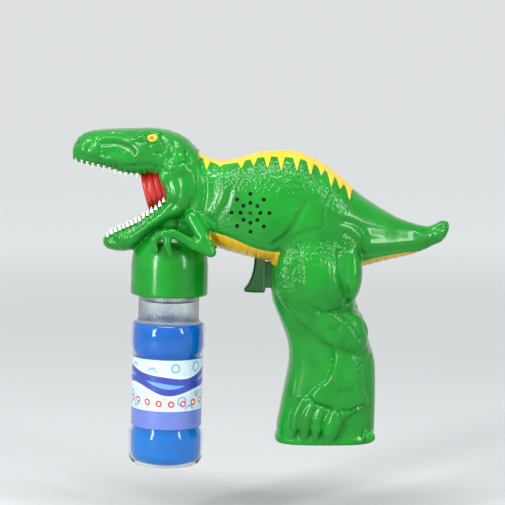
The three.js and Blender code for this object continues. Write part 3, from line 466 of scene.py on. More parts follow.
legOutline = [
    (-28.6, 38), (-27.9, 31.4), (-26, 27.6), (-21.6, 21.8), (-16.5, 16.7), (-10.7, 12.3), (-5.6, 7.2),
    (0.4, 3), (-0.2, -4.3), (-1.8, -10), (-3.6, -13.4), (-7.5, -15.8), (-11, -20.6), (-8.8, -24.1),
    (-1.8, -26.6), (2, -28.2), (8.4, -28.5), (13.5, -26.6), (18.9, -25), (16.7, -18.3), (16.1, -12),
    (15.4, -7.8), (19.6, -1.1), (20.6, 0.5), (19.8, 4), (17.2, 10.4), (14.5, 19.3), (12.6, 23.1),
    (12.2, 29.5), (14.5, 36), (15, 45), (12, 54), (4.9, 59.6), (-9.8, 59.6), (-18.4, 55.3),
    (-26.1, 49.2),
]
footOutline = [
    (-11.4, -20.2), (-17, -24), (-19.6, -28.5), (-20.6, -36), (-17, -37.6), (-8, -38.2), (4.6, -37.8),
    (5.9, -33), (11, -29.4), (18.9, -25.2), (13.5, -25.8), (2, -26.8), (-6, -24.2),
]
toes = [
    ([(-14.6, -23.6), (-17.8, -29.8), (-18.9, -36.4), (-19.8, -41.4)], (2.2, 3, 2.8, 1.1)),
    ([(-9.2, -24.6), (-12, -30.5), (-13.2, -37.2), (-13.9, -42)], (2.4, 3.2, 3, 1.1)),
    ([(-4.6, -26.4), (-6.8, -31.7), (-7.5, -37.2), (-8.2, -42.2)], (2.4, 3.2, 3, 1.1)),
    ([(2, -28.8), (0.6, -34), (-0.6, -38.6), (-1.8, -42.6)], (3.4, 4.8, 4.2, 1.4)),
]
legBumps = [
    # outline, height, rounding: calf and ankle
    ([(-12, 22), (2, 22.5), (9, 22), (14, 16), (17.5, 8), (19.6, 1), (14, 0), (6, 3), (0.6, 4.6), (-6, 10)],
     1.2, 4),
    ([(1.6, 0.5), (9, 0.5), (14, -4), (13.6, -10), (10, -16), (3, -17), (0.6, -9)], 0.8, 3.4),
]


def emboss(body):
    # leg, foot and toes rise straight out of the grip's flat sides
    co = points(body)
    x, y, z = co[:, 0] / mm, co[:, 1] / mm, co[:, 2] / mm
    rise = embossed(x, z, legOutline, 2.3, 2.6)
    for outline, height, rounding in legBumps:
        rise += embossed(x, z, outline, height, rounding)
    rise = np.maximum(rise, embossed(x, z, footOutline, 1.9, 2.4))
    toe = np.zeros(len(x))
    for line, sizes in toes:
        toe = np.maximum(toe, bead(x, z, line, sizes, 1.05))
    rise = np.maximum(rise, toe)
    rise *= np.clip((np.abs(y) - 8) / 5, 0, 1) * np.clip((58 - z) / 24, 0, 1)
    co[:, 1] += np.sign(y) * rise * mm
    setPoints(body, co)
    addModifier(body, "SMOOTH", factor=0.4, iterations=2)
    return body


faceRidges = [
    # brow, top of the snout and upper lip: places and sizes
    ([(-93.5, 11.4, 107.8), (-88, 12.2, 108.6), (-84, 12, 108)], (2, 2.3, 2)),
    ([(-119, 6.8, 107.4), (-108, 8.8, 108.2), (-96, 9.4, 108)], (1.5, 1.9, 1.9)),
    ([(-117, 9.8, 97.2), (-108, 11.6, 96.6), (-97, 13.2, 95.6)], (2.6, 3.3, 3)),
]


def headExtras(side):
    parts = [
        ball((-86.1, side * 13.6, 103.4), (5.2, 3.7, 4.9)),      # lids and the bulge under the eye
        ball((-94.0, side * 11.8, 106.2), (3.2, 4.0, 2.4)),      # brow knob
        ball((-79.5, side * 14.6, 88.0), (5.2, 2.9, 6.5)),       # corner of the mouth
        ball((-75.5, side * 14.6, 92.5), (7.2, 4.6, 8.0)),       # jaw muscles
        ball((-74.0, side * 14.2, 80.0), (6.6, 5.2, 9.0)),
        ball((-103.6, side * 9.4, 56.6), (4.4, 3.6, 3.6)),       # end of the lower jaw
    ]
    for line, sizes in faceRidges:
        parts += limb([(x, side * y, z) for x, y, z in line], sizes)
    return parts


softSeams = [
    # where one form flows into the next: line, reach, smoothing steps
    ([(-25, 50), (-19, 56), (-10, 57.5), (0, 58), (9, 57)], 4.5, 70),
    ([(-66, 92), (-63.5, 84), (-63.5, 75)], 3, 30),
    ([(-84, 89), (-80.5, 84), (-79.5, 78)], 2.2, 14),
    ([(-8, 30), (4, 27), (12, 28)], 2.6, 16),
    ([(-80, 98), (-70, 92), (-72, 78)], 3, 16),
]


def soften(body, line, reach, times):
    # smooths only near the line
    co = points(body)
    x, y, z = co[:, 0] / mm, np.abs(co[:, 1]) / mm, co[:, 2] / mm
    weight = np.exp(-(lineDistance(x, z, line) / reach) ** 2) * (y > 6)
    near = body.vertex_groups.new(name="near")
    for i in np.flatnonzero(weight > 0.03):
        near.add([int(i)], float(weight[i]), "REPLACE")
    addModifier(body, "SMOOTH", factor=0.6, iterations=times, vertex_group="near")
    body.vertex_groups.clear()


def buildBody():
    parts = [
        loft("skull", "X", skullStations, skin["headPower"]),
        loft("jowl", "X", jowlStations, skin["headPower"]),
        loft("jaw", "X", jawStations, skin["headPower"]),
        loft("torso", "X", torsoStations, skin["torsoPower"], sides=48),
        loft("grip", "Z", gripStations, skin["gripPower"], sides=48),
        turnProfile("socket", socketOuter, bottleFrame),
        ball((-69, 0, 62), (9.5, 14.5, 8.5)),                    # chest running into the socket
        ball((-79, 0, 64), (9.0, 12.5, 4.6)),
        rod(19.2, -41.2, -18.2, 18.2, 2.6),                      # small round heel at the flange's back corner
    ]
    for side in (-1, 1):
        parts += armParts(side) + legParts(side) + headExtras(side)
    body = joinAll(parts, "dinoBody")
    addModifier(body, "REMESH", mode="VOXEL", voxel_size=skin["voxel"] * mm)
    addModifier(body, "SMOOTH", factor=0.5, iterations=skin["smoothing"])
    emboss(body)
    for line, reach, times in softSeams:
        soften(body, line, reach, times)
    return body


# grooves and ridges: (line, width, height), in the side view
sculptLines = [
    # snout and lips
    ([(-126.4, 98.6), (-118, 96.6), (-108, 94.2), (-99, 92.6), (-91, 93.4), (-85, 92)], 1.1, -0.5),
    ([(-127.2, 96.4), (-118, 93.8), (-108, 91.4), (-99, 89.6), (-92, 90)], 0.9, 0.4),
    ([(-112.5, 103.6), (-106, 104), (-100.5, 102.6), (-97.4, 99.6)], 1.2, -1.3),
    ([(-113, 106.4), (-106, 106.6), (-98.5, 105)], 0.9, 0.5),
    ([(-119.5, 101.2), (-117.5, 104.2), (-118.6, 106.8)], 0.9, -0.5),
    # lids, brow and the folds round the eye
    ([(-91, 106.6), (-90.2, 102.6), (-87, 99.3), (-83.2, 99.6), (-81.6, 103), (-83.6, 107.4)],
     0.75, -0.9),
    ([(-91.6, 107.9), (-88, 109.1), (-84.2, 107.9)], 0.7, 0.5),
    ([(-90.2, 104.3), (-87.9, 103.7), (-85.4, 104.6)], 0.6, -0.5),
    ([(-95.6, 104.9), (-93.4, 104.3), (-91.8, 104.9)], 0.8, -0.7),
    ([(-78.8, 107.6), (-77, 103.5), (-78.2, 98.5)], 1, -0.5),
    # ear
    ([(-71.4, 100.2), (-70.9, 97.6), (-70, 94.8)], 0.7, -1.2),
    ([(-74.6, 93.6), (-73, 94.6), (-71.2, 94.9)], 0.6, -0.9),
    # mouth corner, jowl and lower jaw
    ([(-86, 89.6), (-82.6, 86.4), (-80.4, 82.4), (-79.6, 78.6), (-80.4, 75.4)], 0.9, 0.5),
    ([(-77.6, 90.4), (-75.4, 86.2), (-74.6, 81), (-76, 75.6), (-79.4, 71.2)], 1.3, -0.65),
    ([(-72.6, 88.8), (-69.6, 85), (-68.4, 80.6)], 0.9, -0.4),
    ([(-82.6, 74.2), (-88, 70), (-94, 65.4), (-100, 62.6), (-106, 60.2), (-110.4, 57.6)], 0.8, 0.4),
    ([(-84, 71.4), (-90, 66.6), (-96, 61.8), (-102, 59)], 0.9, -0.5),
    ([(-109.6, 57.8), (-107.2, 56.6), (-105.6, 55.2)], 1.6, -1),
    ([(-100.6, 57), (-95.6, 59.4), (-90.6, 63.4)], 0.8, 0.35),
    # neck and shoulder
    ([(-63.9, 94.5), (-62.6, 86), (-63, 78), (-64.6, 70.5)], 1, -0.9),
    ([(-58.6, 93), (-57.6, 87), (-58, 81)], 1.2, -0.4),
    ([(-52.8, 80.4), (-54.6, 75.2), (-58, 70.2)], 2, 0.55),
    ([(-50.2, 80), (-52, 74.6), (-55.6, 69)], 1.7, -0.4),
    ([(-60.6, 68.4), (-57.4, 64.6), (-57, 61)], 1, -0.5),
    # belly swelling and its edges
    ([(-59.5, 60.9), (-50, 58.4), (-40, 53.9), (-30, 51.4), (-25.5, 51.1)], 0.7, -0.6),
    ([(-27.6, 56), (-22.4, 59.6), (-18, 65.6), (-15.4, 71), (-12.6, 75.6)], 1.9, -1),
    ([(-31, 56.6), (-25.4, 60.2), (-21, 66), (-18.4, 71.4)], 1.7, 0.55),
    # haunch and the root of the tail
    ([(-1, 79.6), (-3.6, 74), (-4.6, 69), (-3.8, 63)], 1, -0.8),
    ([(5.7, 66.2), (10.4, 64.9), (13.6, 62.4), (16, 58.2), (14.4, 51)], 1.6, -0.9),
    ([(-26.4, 50.6), (-22.6, 56), (-15, 60.4), (-7, 62)], 1.5, -0.6),
    ([(6.6, 60.4), (12.4, 55.6), (15, 49)], 1.4, -0.6),
    # thigh muscles
    ([(-17.6, 53), (-15.6, 44), (-15.4, 35.2), (-13.3, 28.2), (-10.7, 24.4), (-5.6, 21.8)], 1.1, -0.8),
    ([(-1.1, 47.4), (0.6, 37.5), (4, 29)], 0.9, 0.8),
    ([(3, 51.6), (3.8, 40), (6.4, 32.4), (7.1, 25.6)], 1.4, -1.3),
    ([(-4.6, 52), (-3.8, 42), (-2.4, 33.4)], 1.2, -0.35),
    # knee and calf
    ([(-6, 21.2), (2, 22), (9, 22.8), (12.8, 22.4)], 0.8, -1),
    ([(2.4, 20.2), (8.4, 15.6), (13.8, 8.6)], 0.8, -0.85),
    ([(5.6, 19.6), (11.2, 13.8), (15.6, 7.2)], 0.7, 0.5),
    ([(-1.8, 13.6), (3.4, 11.4), (7.1, 7.2)], 0.9, -0.5),
    ([(19.4, -0.8), (16.4, -3.6), (13, -5.8)], 0.7, -0.9),
    ([(13.2, -8.4), (14.6, -12.6), (14.2, -17)], 0.8, -0.5),
    ([(4, -8), (5.6, -14), (4, -20)], 1, -0.35),
    ([(-10.6, -21.2), (-8, -23.8), (-1.8, -26), (2, -27.2), (8.4, -27.6), (13.5, -26.2), (18.4, -24.8)],
     0.65, -0.8),
    # underside of the tail
    ([(15.4, 49.4), (24, 50.2), (33, 51.4), (44, 52.6), (52, 55)], 0.9, -0.7),
    ([(14, 54.4), (26, 54.6), (38, 55.8), (49, 57.8)], 1.8, 0.4),
    ([(16, 63), (28, 60.6), (40, 58.8)], 2, -0.35),
    ([(46.5, 60.6), (52.5, 61.6), (57.6, 62.6)], 1, -0.8),
    # the grip's rounded front edge
    ([(-28.6, 31), (-26, 21.8), (-21.6, 13.5), (-19, 5.3), (-18, -2.4), (-18.4, -12), (-19.3, -20)],
     0.8, 0.35),
]

# soft hollows and swellings: (x, z, half length, half height, push)
sculptSpots = [
    (-103, 101.6, 6, 2.4, -0.7),
    (-122.4, 102.6, 3.6, 3.6, 0.5),
    (-124.5, 105, 0.9, 1.7, -2.2),
    (-87.9, 106.3, 2.4, 1.9, 0.5),
    (-40, 70.5, 12.4, 12.4, -0.35),
    (-30, 62, 9, 8, 0.7),
    (-24, 80, 10, 9, 0.5),
    (2, 71, 9, 7, 0.35),
    (-52, 86, 5, 5, 0.35),
    (-20.5, 36, 5, 8, 0.35),
    (14, 57, 4, 5, 0.4),
    (12.6, -16, 2.6, 4.6, 0.4),
]


def lipBumps(x, z):
    # small lumps along both lips and down the side of the lower jaw
    upper = np.interp(x, [-128, -117, -106, -99, -88], [95.6, 93.2, 90.2, 89.0, 90.2])
    lower = np.interp(x, [-113, -105, -95, -88, -82], [56.4, 60.6, 65.2, 70.0, 74.6])
    along = np.sin(x * 2.1) * 0.5 + np.sin(x * 3.7 + 1) * 0.3
    push = 0.6 * along * np.exp(-(((z - upper) / 1.5) ** 2)) * ((x < -88) & (z > 84))
    push += 0.7 * along * np.exp(-(((z - lower) / 1.8) ** 2)) * ((x < -82) & (z < 80))
    return push


crestTips = [
    (-61.5, 90.6), (-55, 92.4), (-44.5, 91.6), (-38.4, 92.8), (-31.6, 91.4), (-25, 90.2), (-17.4, 90.4),
    (-10.8, 88.2), (-5.4, 88.4), (-0.6, 82.6), (3.8, 81.6), (8.4, 75.8),
]
crestWidth = [(-60, 1.1), (-50, 1.4), (-40, 1.8), (-28, 2.4), (-18, 2.8), (-8, 2.3), (8, 2.2)]  # between tips
crestStart, crestEnd = -66, 11


def backTop(x):
    return np.interp(x, [s[0] for s in torsoStations], [s[2] for s in torsoStations])


def crestEdge(x):
    # the lower edge of the yellow crest: points down at each tip, high between them
    tipHalf, farAbove = 1.7, 130
    xs, zs = [crestStart], [97.6]
    for i, (tipX, tipZ) in enumerate(crestTips):
        before = tipX - (crestTips[i - 1][0] if i else crestStart)
        after = (crestTips[i + 1][0] if i + 1 < len(crestTips) else crestEnd) - tipX
        for place in (tipX - min(tipHalf, before * 0.4), tipX, tipX + min(tipHalf, after * 0.4)):
            between = float(backTop(place)) - float(np.interp(place, *zip(*crestWidth)))
            xs.append(place)
            zs.append(tipZ if place == tipX else between)
    xs.append(crestEnd)
    zs.append(float(backTop(crestEnd)) + 0.4)
    return np.interp(x, xs, zs, left=farAbove, right=farAbove)


bellyLow = [(-61, 58.4), (-58.6, 56.6), (-56.2, 50.4), (-45, 47.0), (-35, 44.4), (-25, 44.0)]
bellyLine = [
    (-60.2, 61.0), (-55, 59.6), (-50, 58), (-45, 55.9), (-40, 53.5), (-35, 51.9), (-30, 51), (-25.5, 50.7),
]
tailLine = [(14.6, 45.6), (20, 47.2), (28, 48.6), (36, 49.8), (44.5, 50.2)]
bellySpan = (-60.2, -25.2)
tailSpan = (14.6, 44.5)
outOfPaint = -9


def crestDepth(co):
    # how far above the crest's edge a point lies, in mm
    x, z = co[:, 0] / mm, co[:, 2] / mm
    inside = (x > crestStart) & (x < crestEnd)
    return np.where(inside, z - crestEdge(x), outOfPaint)


def stripDepth(x, z, span, line, allowed):
    # how far below the line a point lies, cut off at both ends of the span
    start, end = span
    depth = np.where((x > start) & (x < end) & allowed, np.interp(x, *zip(*line)) - z, outOfPaint)
    return np.minimum(depth, np.minimum(np.minimum(x - start, end - x), -outOfPaint))


def bellyDepth(co):
    x, z = co[:, 0] / mm, co[:, 2] / mm
    offLeg = ~insideOutline(x, z, legOutline)
    belly = stripDepth(x, z, bellySpan, bellyLine, offLeg)
    belly = np.minimum(belly, z - np.interp(x, *zip(*bellyLow)))
    return np.maximum(belly, stripDepth(x, z, tailSpan, tailLine, z > 40))


def spotDistance(x, z, spot):
    # 1 on the rim of an oval spot, squared
    cx, cz, halfLong, halfTall = spot
    return ((x - cx) / halfLong) ** 2 + ((z - cz) / halfTall) ** 2


# where the hide is pebbled: (x, z, half length, half height, amount)
pebbleSpots = [
    (-50, 88, 11, 8, 0.8), (-24, 87, 19, 9, 1), (2, 77, 9, 7, 0.6), (-57, 60, 4, 7, 0.7),
    (-32, 90, 9, 6, 0.8), (-21, 42, 8, 13, 1), (-9, 52, 14, 8, 1), (6, 56, 8, 6, 0.7),
    (-112, 103, 13, 6, 0.45), (-80, 104, 10, 5, 0.5), (10, -6, 7, 14, 0.4), (-83, 94, 8, 6, 0.7),
    (-100, 57, 10, 5, 0.7), (-92, 64, 8, 5, 0.5), (-54, 68, 6, 8, 0.6), (-14, 30, 8, 6, 0.5),
    (-38, 58, 10, 4, 0.4),
]


def pebbleWeight(co):
    x, y, z = co[:, 0] / mm, np.abs(co[:, 1]) / mm, co[:, 2] / mm
    weight = np.zeros(len(x))
    for *spot, amount in pebbleSpots:
        weight = np.maximum(weight, amount * np.clip(1.6 - spotDistance(x, z, spot), 0, 1))
    return weight * np.clip(y / 3, 0, 1)


def sculpt(body):
    co = points(body)
    push = np.zeros(len(co))
    for line, width, height in sculptLines:
        stroke(co, push, line, width, height)
    x, y, z = co[:, 0] / mm, np.abs(co[:, 1]) / mm, co[:, 2] / mm
    for *spot, height in sculptSpots:
        push += height * mm * np.exp(-spotDistance(x, z, spot) * 1.2) * (y > 3)
    push += lipBumps(x, z) * mm * np.clip(y - 3, 0, 1)
    crest = crestDepth(co)
    push += 0.45 * mm * np.clip(crest / 0.7 + 0.5, 0, 1)
    ridge = np.abs(((x + 66) / 5.4) % 1 - 0.5)
    push += 0.35 * mm * np.clip(crest / 2, 0, 1) * (0.5 - ridge)
    belly = bellyDepth(co)
    folds = np.abs(((x + 60) / 4.2) % 1 - 0.5) * 2
    push -= 0.4 * mm * np.clip(belly, 0, 1) * np.clip(1 - folds * 3, 0, 1)
    weight = pebbleWeight(co) * (crest < -0.3) * (belly < 0)
    size = skin["pebble"] * mm
    pebbles = np.zeros(len(co))
    for i in np.flatnonzero(weight > 0.02):
        near, _ = noise.voronoi(Vector(co[i]) / size)
        pebbles[i] = min((near[1] - near[0]) * 2.2, 1.0)
    push += skin["pebbleHeight"] * mm * weight * (pebbles - 0.35)
    setPoints(body, co + normals(body) * push[:, None])
    return body


screwMiddles = [middleOf(f"shell_screw_{i}") / mm for i in range(1, 9)]
cuts = {
    "boss": 3.7, "screwHead": 3.1, "screwHole": 1.6, "headSeat": 6.0,
    "airHole": 1.0, "airRings": (4.8, 9.2), "airCount": 8,
    "throat": [(0, -14), (13.6, -14), (13.6, -8.3), (11.4, -8.3), (11.4, 14), (0, 14)],
    "doorGap": 0.3, "doorHead": 3.0, "doorSeat": 3.4, "footZ": -45.55, "farOff": 60,
}
doorLow, doorHigh = [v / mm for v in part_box("battery_door")]


def hollow():
    # the space inside the shells, with the screw bosses left standing
    wall = skin["wall"]
    parts = [
        loft("skullSpace", "X", skullStations, skin["headPower"], wall),
        loft("jowlSpace", "X", jowlStations, skin["headPower"], wall),
        loft("jawSpace", "X", jawStations[1:], skin["headPower"], wall),
        loft("torsoSpace", "X", torsoStations[:-3], skin["torsoPower"], wall, 48),
        loft("gripSpace", "Z", gripStations, skin["gripPower"], wall, 48),
    ]
    inner = joinAll(parts, "innerSpace")
    addModifier(inner, "REMESH", mode="VOXEL", voxel_size=1.1 * mm)
    bosses = [rod(s.x, s.z, -30, 30, cuts["boss"], 20) for s in screwMiddles]
    return combine(inner, joinAll(bosses, "bosses"))


def cutOpenings(body):
    combine(body, hollow())
    combine(body, turnProfile("socketHole", socketInner, bottleFrame))
    combine(body, turnProfile("throatHole", cuts["throat"], throatFrame))
    combine(body, block(-39.8, -25, -5.0, 5.0, 40, 52))          # the trigger's slot
    combine(body, block(-45, -25, -5.0, 5.0, 28.6, 50))
    holes = [rod(s.x, s.z, cuts["headSeat"], cuts["farOff"], cuts["screwHead"], 32) for s in screwMiddles]
    holes += [rod(s.x, s.z, -10, 20, cuts["screwHole"], 16) for s in screwMiddles]
    for hole in holes:
        combine(body, hole)
    return body


def jawScoops():
    # hollow the insides of the jaws, so that the teeth stand on a rim
    upper = [(p, b - 21 + 4.6, b - 2.4 + 4.6, h * 0.7) for p, b, t, h in skullStations[2:11]]
    lower = [(p, t - 2.6, t + 14, h * 0.7) for p, b, t, h in jawStations[1:11]]
    return [loft("palate", "X", upper, 2.2), loft("mouthFloor", "X", lower, 2.2)]


def airHoles():
    centre = middleOf("fan_wheel") / mm
    places = [(centre.x, centre.z)]
    for reach in cuts["airRings"]:
        for i in range(cuts["airCount"]):
            turn = i * 2 * math.pi / cuts["airCount"]
            places.append((centre.x + reach * math.cos(turn), centre.z + reach * math.sin(turn)))
    return joinAll([rod(x, z, -40, -14, cuts["airHole"], 16) for x, z in places], "airHoles")


def makeShells():
    body = sculpt(buildBody())
    print("body sculpted,", len(body.data.polygons), "faces")
    for scoop in jawScoops():
        combine(body, scoop)
    door = copyOf(body, "doorPanel")
    cutOpenings(body)
    combine(body, block(-60, 60, -60, 60, -80, cuts["footZ"]))   # flat foot of the grip
    seam = skin["seam"]
    left = copyOf(body, "leftSkin")
    combine(left, block(-200, 120, -seam, 120, -120, 200))
    combine(left, airHoles())
    right = body
    right.name = "rightSkin"
    right.data.name = "rightSkin"
    combine(right, block(-200, 120, -120, seam, -120, 200))
    gap, far = cuts["doorGap"], cuts["farOff"]
    combine(right, block(
        doorLow.x - gap, doorHigh.x + gap, doorLow.y - 1, far, doorLow.z - gap, doorHigh.z + gap,
    ))
    combine(door, block(doorLow.x, doorHigh.x, doorLow.y, far, doorLow.z, doorHigh.z), "INTERSECT")
    screw = middleOf("door_screw") / mm
    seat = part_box("door_screw")[0].y / mm + cuts["doorSeat"]
    combine(door, rod(screw.x, screw.z, 0, far, cuts["screwHole"], 16))
    combine(door, rod(screw.x, screw.z, seat, far, cuts["doorHead"], 32))
    print("shells cut")
    return left, right, door


def paintMarks(thing):
    co = points(thing)
    x, z = co[:, 0] / mm, co[:, 2] / mm
    eye = np.hypot((x + 87.9) / 2.45, (z - 106.6) / 1.8)
    storeMarks(thing, crest=crestDepth(co), belly=bellyDepth(co), eye=eye, hide=pebbleWeight(co))


# materials

def newMaterial(name):
    made = bpy.data.materials.new(name)
    made.use_nodes = True
    return made, made.node_tree, made.node_tree.nodes["Principled BSDF"]


def setInputs(made, **values):
    # an underscore in a key stands for a space
    for key, value in values.items():
        made.inputs[key.replace("_", " ")].default_value = value
    return made


def node(tree, kind, **inputs):
    return setInputs(tree.nodes.new(kind), **inputs)


def wire(tree, source, output, target, socket):
    tree.links.new(source.outputs[output], target.inputs[socket])


def onObject(tree, made):
    # the pattern is laid out in the piece's own coordinates
    wire(tree, tree.nodes.new("ShaderNodeTexCoord"), "Object", made, "Vector")
    return made


def objectNoise(tree, scale, detail=3.0):
    return onObject(tree, node(tree, "ShaderNodeTexNoise", Scale=scale, Detail=detail))


def markOf(tree, name):
    made = tree.nodes.new("ShaderNodeAttribute")
    made.attribute_name = name
    return made


def mixColours(tree, factorNode, factorOut, first, second):
    # each colour is three numbers or another mix; 6 and 7 are the colour inputs, 2 the colour output
    mix = tree.nodes.new("ShaderNodeMix")
    mix.data_type = "RGBA"
    wire(tree, factorNode, factorOut, mix, 0)
    for socket, colour in ((6, first), (7, second)):
        if isinstance(colour, tuple):
            mix.inputs[socket].default_value = (*colour, 1)
        else:
            wire(tree, colour, 2, mix, socket)
    return mix


def spread(tree, source, output, low, high, newLow, newHigh):
    remap = node(tree, "ShaderNodeMapRange", From_Min=low, From_Max=high, To_Min=newLow, To_Max=newHigh)
    wire(tree, source, output, remap, "Value")
    return remap


def roughen(tree, shader, source, low, high):
    # roughness follows the middle of a noise
    wire(tree, spread(tree, source, "Fac", 0.3, 0.7, low, high), "Result", shader, "Roughness")


def addBump(tree, shader, source, output, strength, distance):
    bump = node(tree, "ShaderNodeBump", Strength=strength, Distance=distance)
    wire(tree, source, output, bump, "Height")
    wire(tree, bump, "Normal", shader, "Normal")
    return bump


plastic = {
    "green": (0.004, 0.21, 0.014),
    "greenDeep": (0.002, 0.16, 0.009),
    "crest": (0.60, 0.45, 0.02),
    "crestDeep": (0.57, 0.36, 0.008),
    "belly": (0.56, 0.35, 0.006),
    "bellyDeep": (0.46, 0.27, 0.004),
    "edge": 0.12,
    "iris": (0.42, 0.33, 0.012),
    "pupilRim": (0.50, 0.06, 0.006),
    "pupil": (0.05, 0.006, 0.003),
}


def dinoPlastic(name, painted):
    made, tree, shader = newMaterial(name)
    cloud = objectNoise(tree, 60, 2)
    patches = spread(tree, cloud, "Fac", 0.35, 0.65, 0, 1)
    colour = mixColours(tree, patches, "Result", plastic["green"], plastic["greenDeep"])
    if painted:
        for mark in ("crest", "belly"):
            edge = spread(tree, markOf(tree, mark), "Fac", -plastic["edge"], plastic["edge"], 0, 1)
            paint = mixColours(tree, cloud, "Fac", plastic[mark], plastic[mark + "Deep"])
            colour = mixColours(tree, edge, "Result", colour, paint)
        for limit, ring in ((1.0, "iris"), (0.42, "pupilRim"), (0.17, "pupil")):
            within = spread(tree, markOf(tree, "eye"), "Fac", limit - 0.06, limit + 0.06, 1, 0)
            colour = mixColours(tree, within, "Result", colour, plastic[ring])
        grains = onObject(tree, node(tree, "ShaderNodeTexVoronoi", Scale=760))
        height = tree.nodes.new("ShaderNodeMath")
        height.operation = "MULTIPLY"
        wire(tree, grains, "Distance", height, 0)
        wire(tree, markOf(tree, "hide"), "Fac", height, 1)
        addBump(tree, shader, height, "Value", 0.55, 0.0005).invert = True
    else:
        addBump(tree, shader, objectNoise(tree, 900, 2), "Fac", 0.05, 0.0002)
    wire(tree, colour, 2, shader, "Base Color")
    roughen(tree, shader, objectNoise(tree, 420, 4), 0.15, 0.25)
    setInputs(shader, Specular_IOR_Level=0.27, Coat_Weight=0.15, Coat_Roughness=0.06)
    setInputs(shader, Subsurface_Weight=0.04, Subsurface_Radius=(0.002, 0.004, 0.002), Subsurface_Scale=1.0)
    return made


def plainPlastic(name, colour, deep, roughness=0.3, coat=0.2):
    made, tree, shader = newMaterial(name)
    tint = mixColours(tree, objectNoise(tree, 90, 3), "Fac", colour, deep)
    wire(tree, tint, 2, shader, "Base Color")
    wear = objectNoise(tree, 700, 4)
    roughen(tree, shader, wear, roughness * 0.85, roughness * 1.2)
    shader.inputs["Coat Weight"].default_value = coat
    addBump(tree, shader, wear, "Fac", 0.08, 0.0002)
    return made


def metal(name, colour, roughness=0.3):
    # fine drawn lines
    made, tree, shader = newMaterial(name)
    stretch = onObject(tree, node(tree, "ShaderNodeMapping", Scale=(200, 3000, 200)))
    lines = node(tree, "ShaderNodeTexNoise", Scale=1.0, Detail=2.0)
    wire(tree, stretch, "Vector", lines, "Vector")
    tint = mixColours(tree, lines, "Fac", colour, tuple(c * 0.75 for c in colour))
    wire(tree, tint, 2, shader, "Base Color")
    shader.inputs["Metallic"].default_value = 1.0
    roughen(tree, shader, lines, roughness * 0.8, roughness * 1.25)
    return made


def clearPlastic(name, tint, roughness=0.04):
    made, tree, shader = newMaterial(name)
    cloud = objectNoise(tree, 300, 2)
    colour = mixColours(tree, cloud, "Fac", tint, tuple(min(1, c * 1.03) for c in tint))
    wire(tree, colour, 2, shader, "Base Color")
    roughen(tree, shader, cloud, roughness * 0.7, roughness * 1.5)
    setInputs(shader, Transmission_Weight=1.0, IOR=1.3)
    addBump(tree, shader, cloud, "Fac", 0.04, 0.0003)
    return made


def liquidBlue():
    # painted shade: deeper blue towards the top
    made, tree, shader = newMaterial("bubbleLiquid")
    split = onObject(tree, tree.nodes.new("ShaderNodeSeparateXYZ"))
    depth = spread(tree, split, "Z", -0.058, 0.014, 0, 1)
    tint = mixColours(tree, depth, "Result", (0.0, 0.175, 0.60), (0.0, 0.115, 0.50))
    wire(tree, tint, 2, shader, "Base Color")
    roughen(tree, shader, objectNoise(tree, 120, 3), 0.05, 0.12)
    shader.inputs["Specular IOR Level"].default_value = 0.1
    return made


def labelPrint():
    # pale print of bubbles with a wavy ribbon over a violet band; no lettering
    made, tree, shader = newMaterial("labelPrint")
    cells = onObject(tree, node(tree, "ShaderNodeTexVoronoi", Scale=135))
    rim = spread(tree, cells, "Distance", 0.16, 0.33, 0, 1)
    inner = mixColours(tree, rim, "Result", (0.50, 0.62, 0.66), (0.05, 0.28, 0.48))
    outside = spread(tree, cells, "Distance", 0.34, 0.37, 0, 1)
    colour = mixColours(tree, outside, "Result", inner, (0.44, 0.55, 0.60))
    for mark, limit, soft, paint in labelLayers:
        within = spread(tree, markOf(tree, mark), "Fac", limit - soft, limit + soft, 1, 0)
        colour = mixColours(tree, within, "Result", colour, paint)
    wire(tree, colour, 2, shader, "Base Color")
    roughen(tree, shader, objectNoise(tree, 900, 3), 0.22, 0.34)
    shader.inputs["Coat Weight"].default_value = 0.25
    return made


labelLayers = [
    # mark, limit, softness, colour: ribbon and its core, small drops, violet band with a light top edge
    ("ribbon", 6.0, 0.12, (0.54, 0.60, 0.64)),
    ("ribbon", 4.6, 0.12, (0.02, 0.04, 0.30)),
    ("ribbon", 1.3, 0.12, (0.10, 0.28, 0.62)),
    ("drops", 1.7, 0.12, (0.55, 0.03, 0.02)),
    ("drops", 0.8, 0.12, (0.68, 0.72, 0.76)),
    ("rise", 9.9, 0.08, (0.54, 0.60, 0.64)),
    ("rise", 9.2, 0.12, (0.10, 0.15, 0.46)),
]


def dress(thing, material):
    thing.data.materials.clear()
    thing.data.materials.append(material)


def finishPiece(thing, material, body, cadNode=None, angle=40):
    # shading, material, the body that carries it and the plain node that it stands for
    smoothShade(thing, angle)
    dress(thing, material)
    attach(thing, body)
    if cadNode:
        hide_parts(cadNode)


dinoPainted = dinoPlastic("dinoPlasticPainted", True)
dinoPlain = dinoPlastic("dinoPlasticPlain", False)
mouthRed = plainPlastic("mouthRed", (0.46, 0.014, 0.010), (0.36, 0.008, 0.006), 0.24, 0.25)
toothWhite = plainPlastic("toothWhite", (0.66, 0.67, 0.63), (0.56, 0.57, 0.52), 0.28, 0.3)
# painted shade: the trigger and its slider get a much darker copy of the body's green, for the shadow the
# trigger sits in
triggerGreenPaintedShade = plainPlastic("triggerGreenPaintedShade", (0.002, 0.085, 0.008), (0.0015, 0.06, 0.006), 0.2, 0.25)
innerWhite = plainPlastic("innerWhite", (0.74, 0.75, 0.76), (0.64, 0.65, 0.66), 0.45, 0.0)
innerBlack = plainPlastic("innerBlack", (0.014, 0.015, 0.017), (0.022, 0.023, 0.025), 0.5, 0.0)
innerGrey = plainPlastic("innerGrey", (0.09, 0.10, 0.115), (0.065, 0.072, 0.085), 0.5, 0.0)
cellJacket = plainPlastic("cellJacket", (0.05, 0.055, 0.06), (0.035, 0.04, 0.045), 0.25, 0.4)
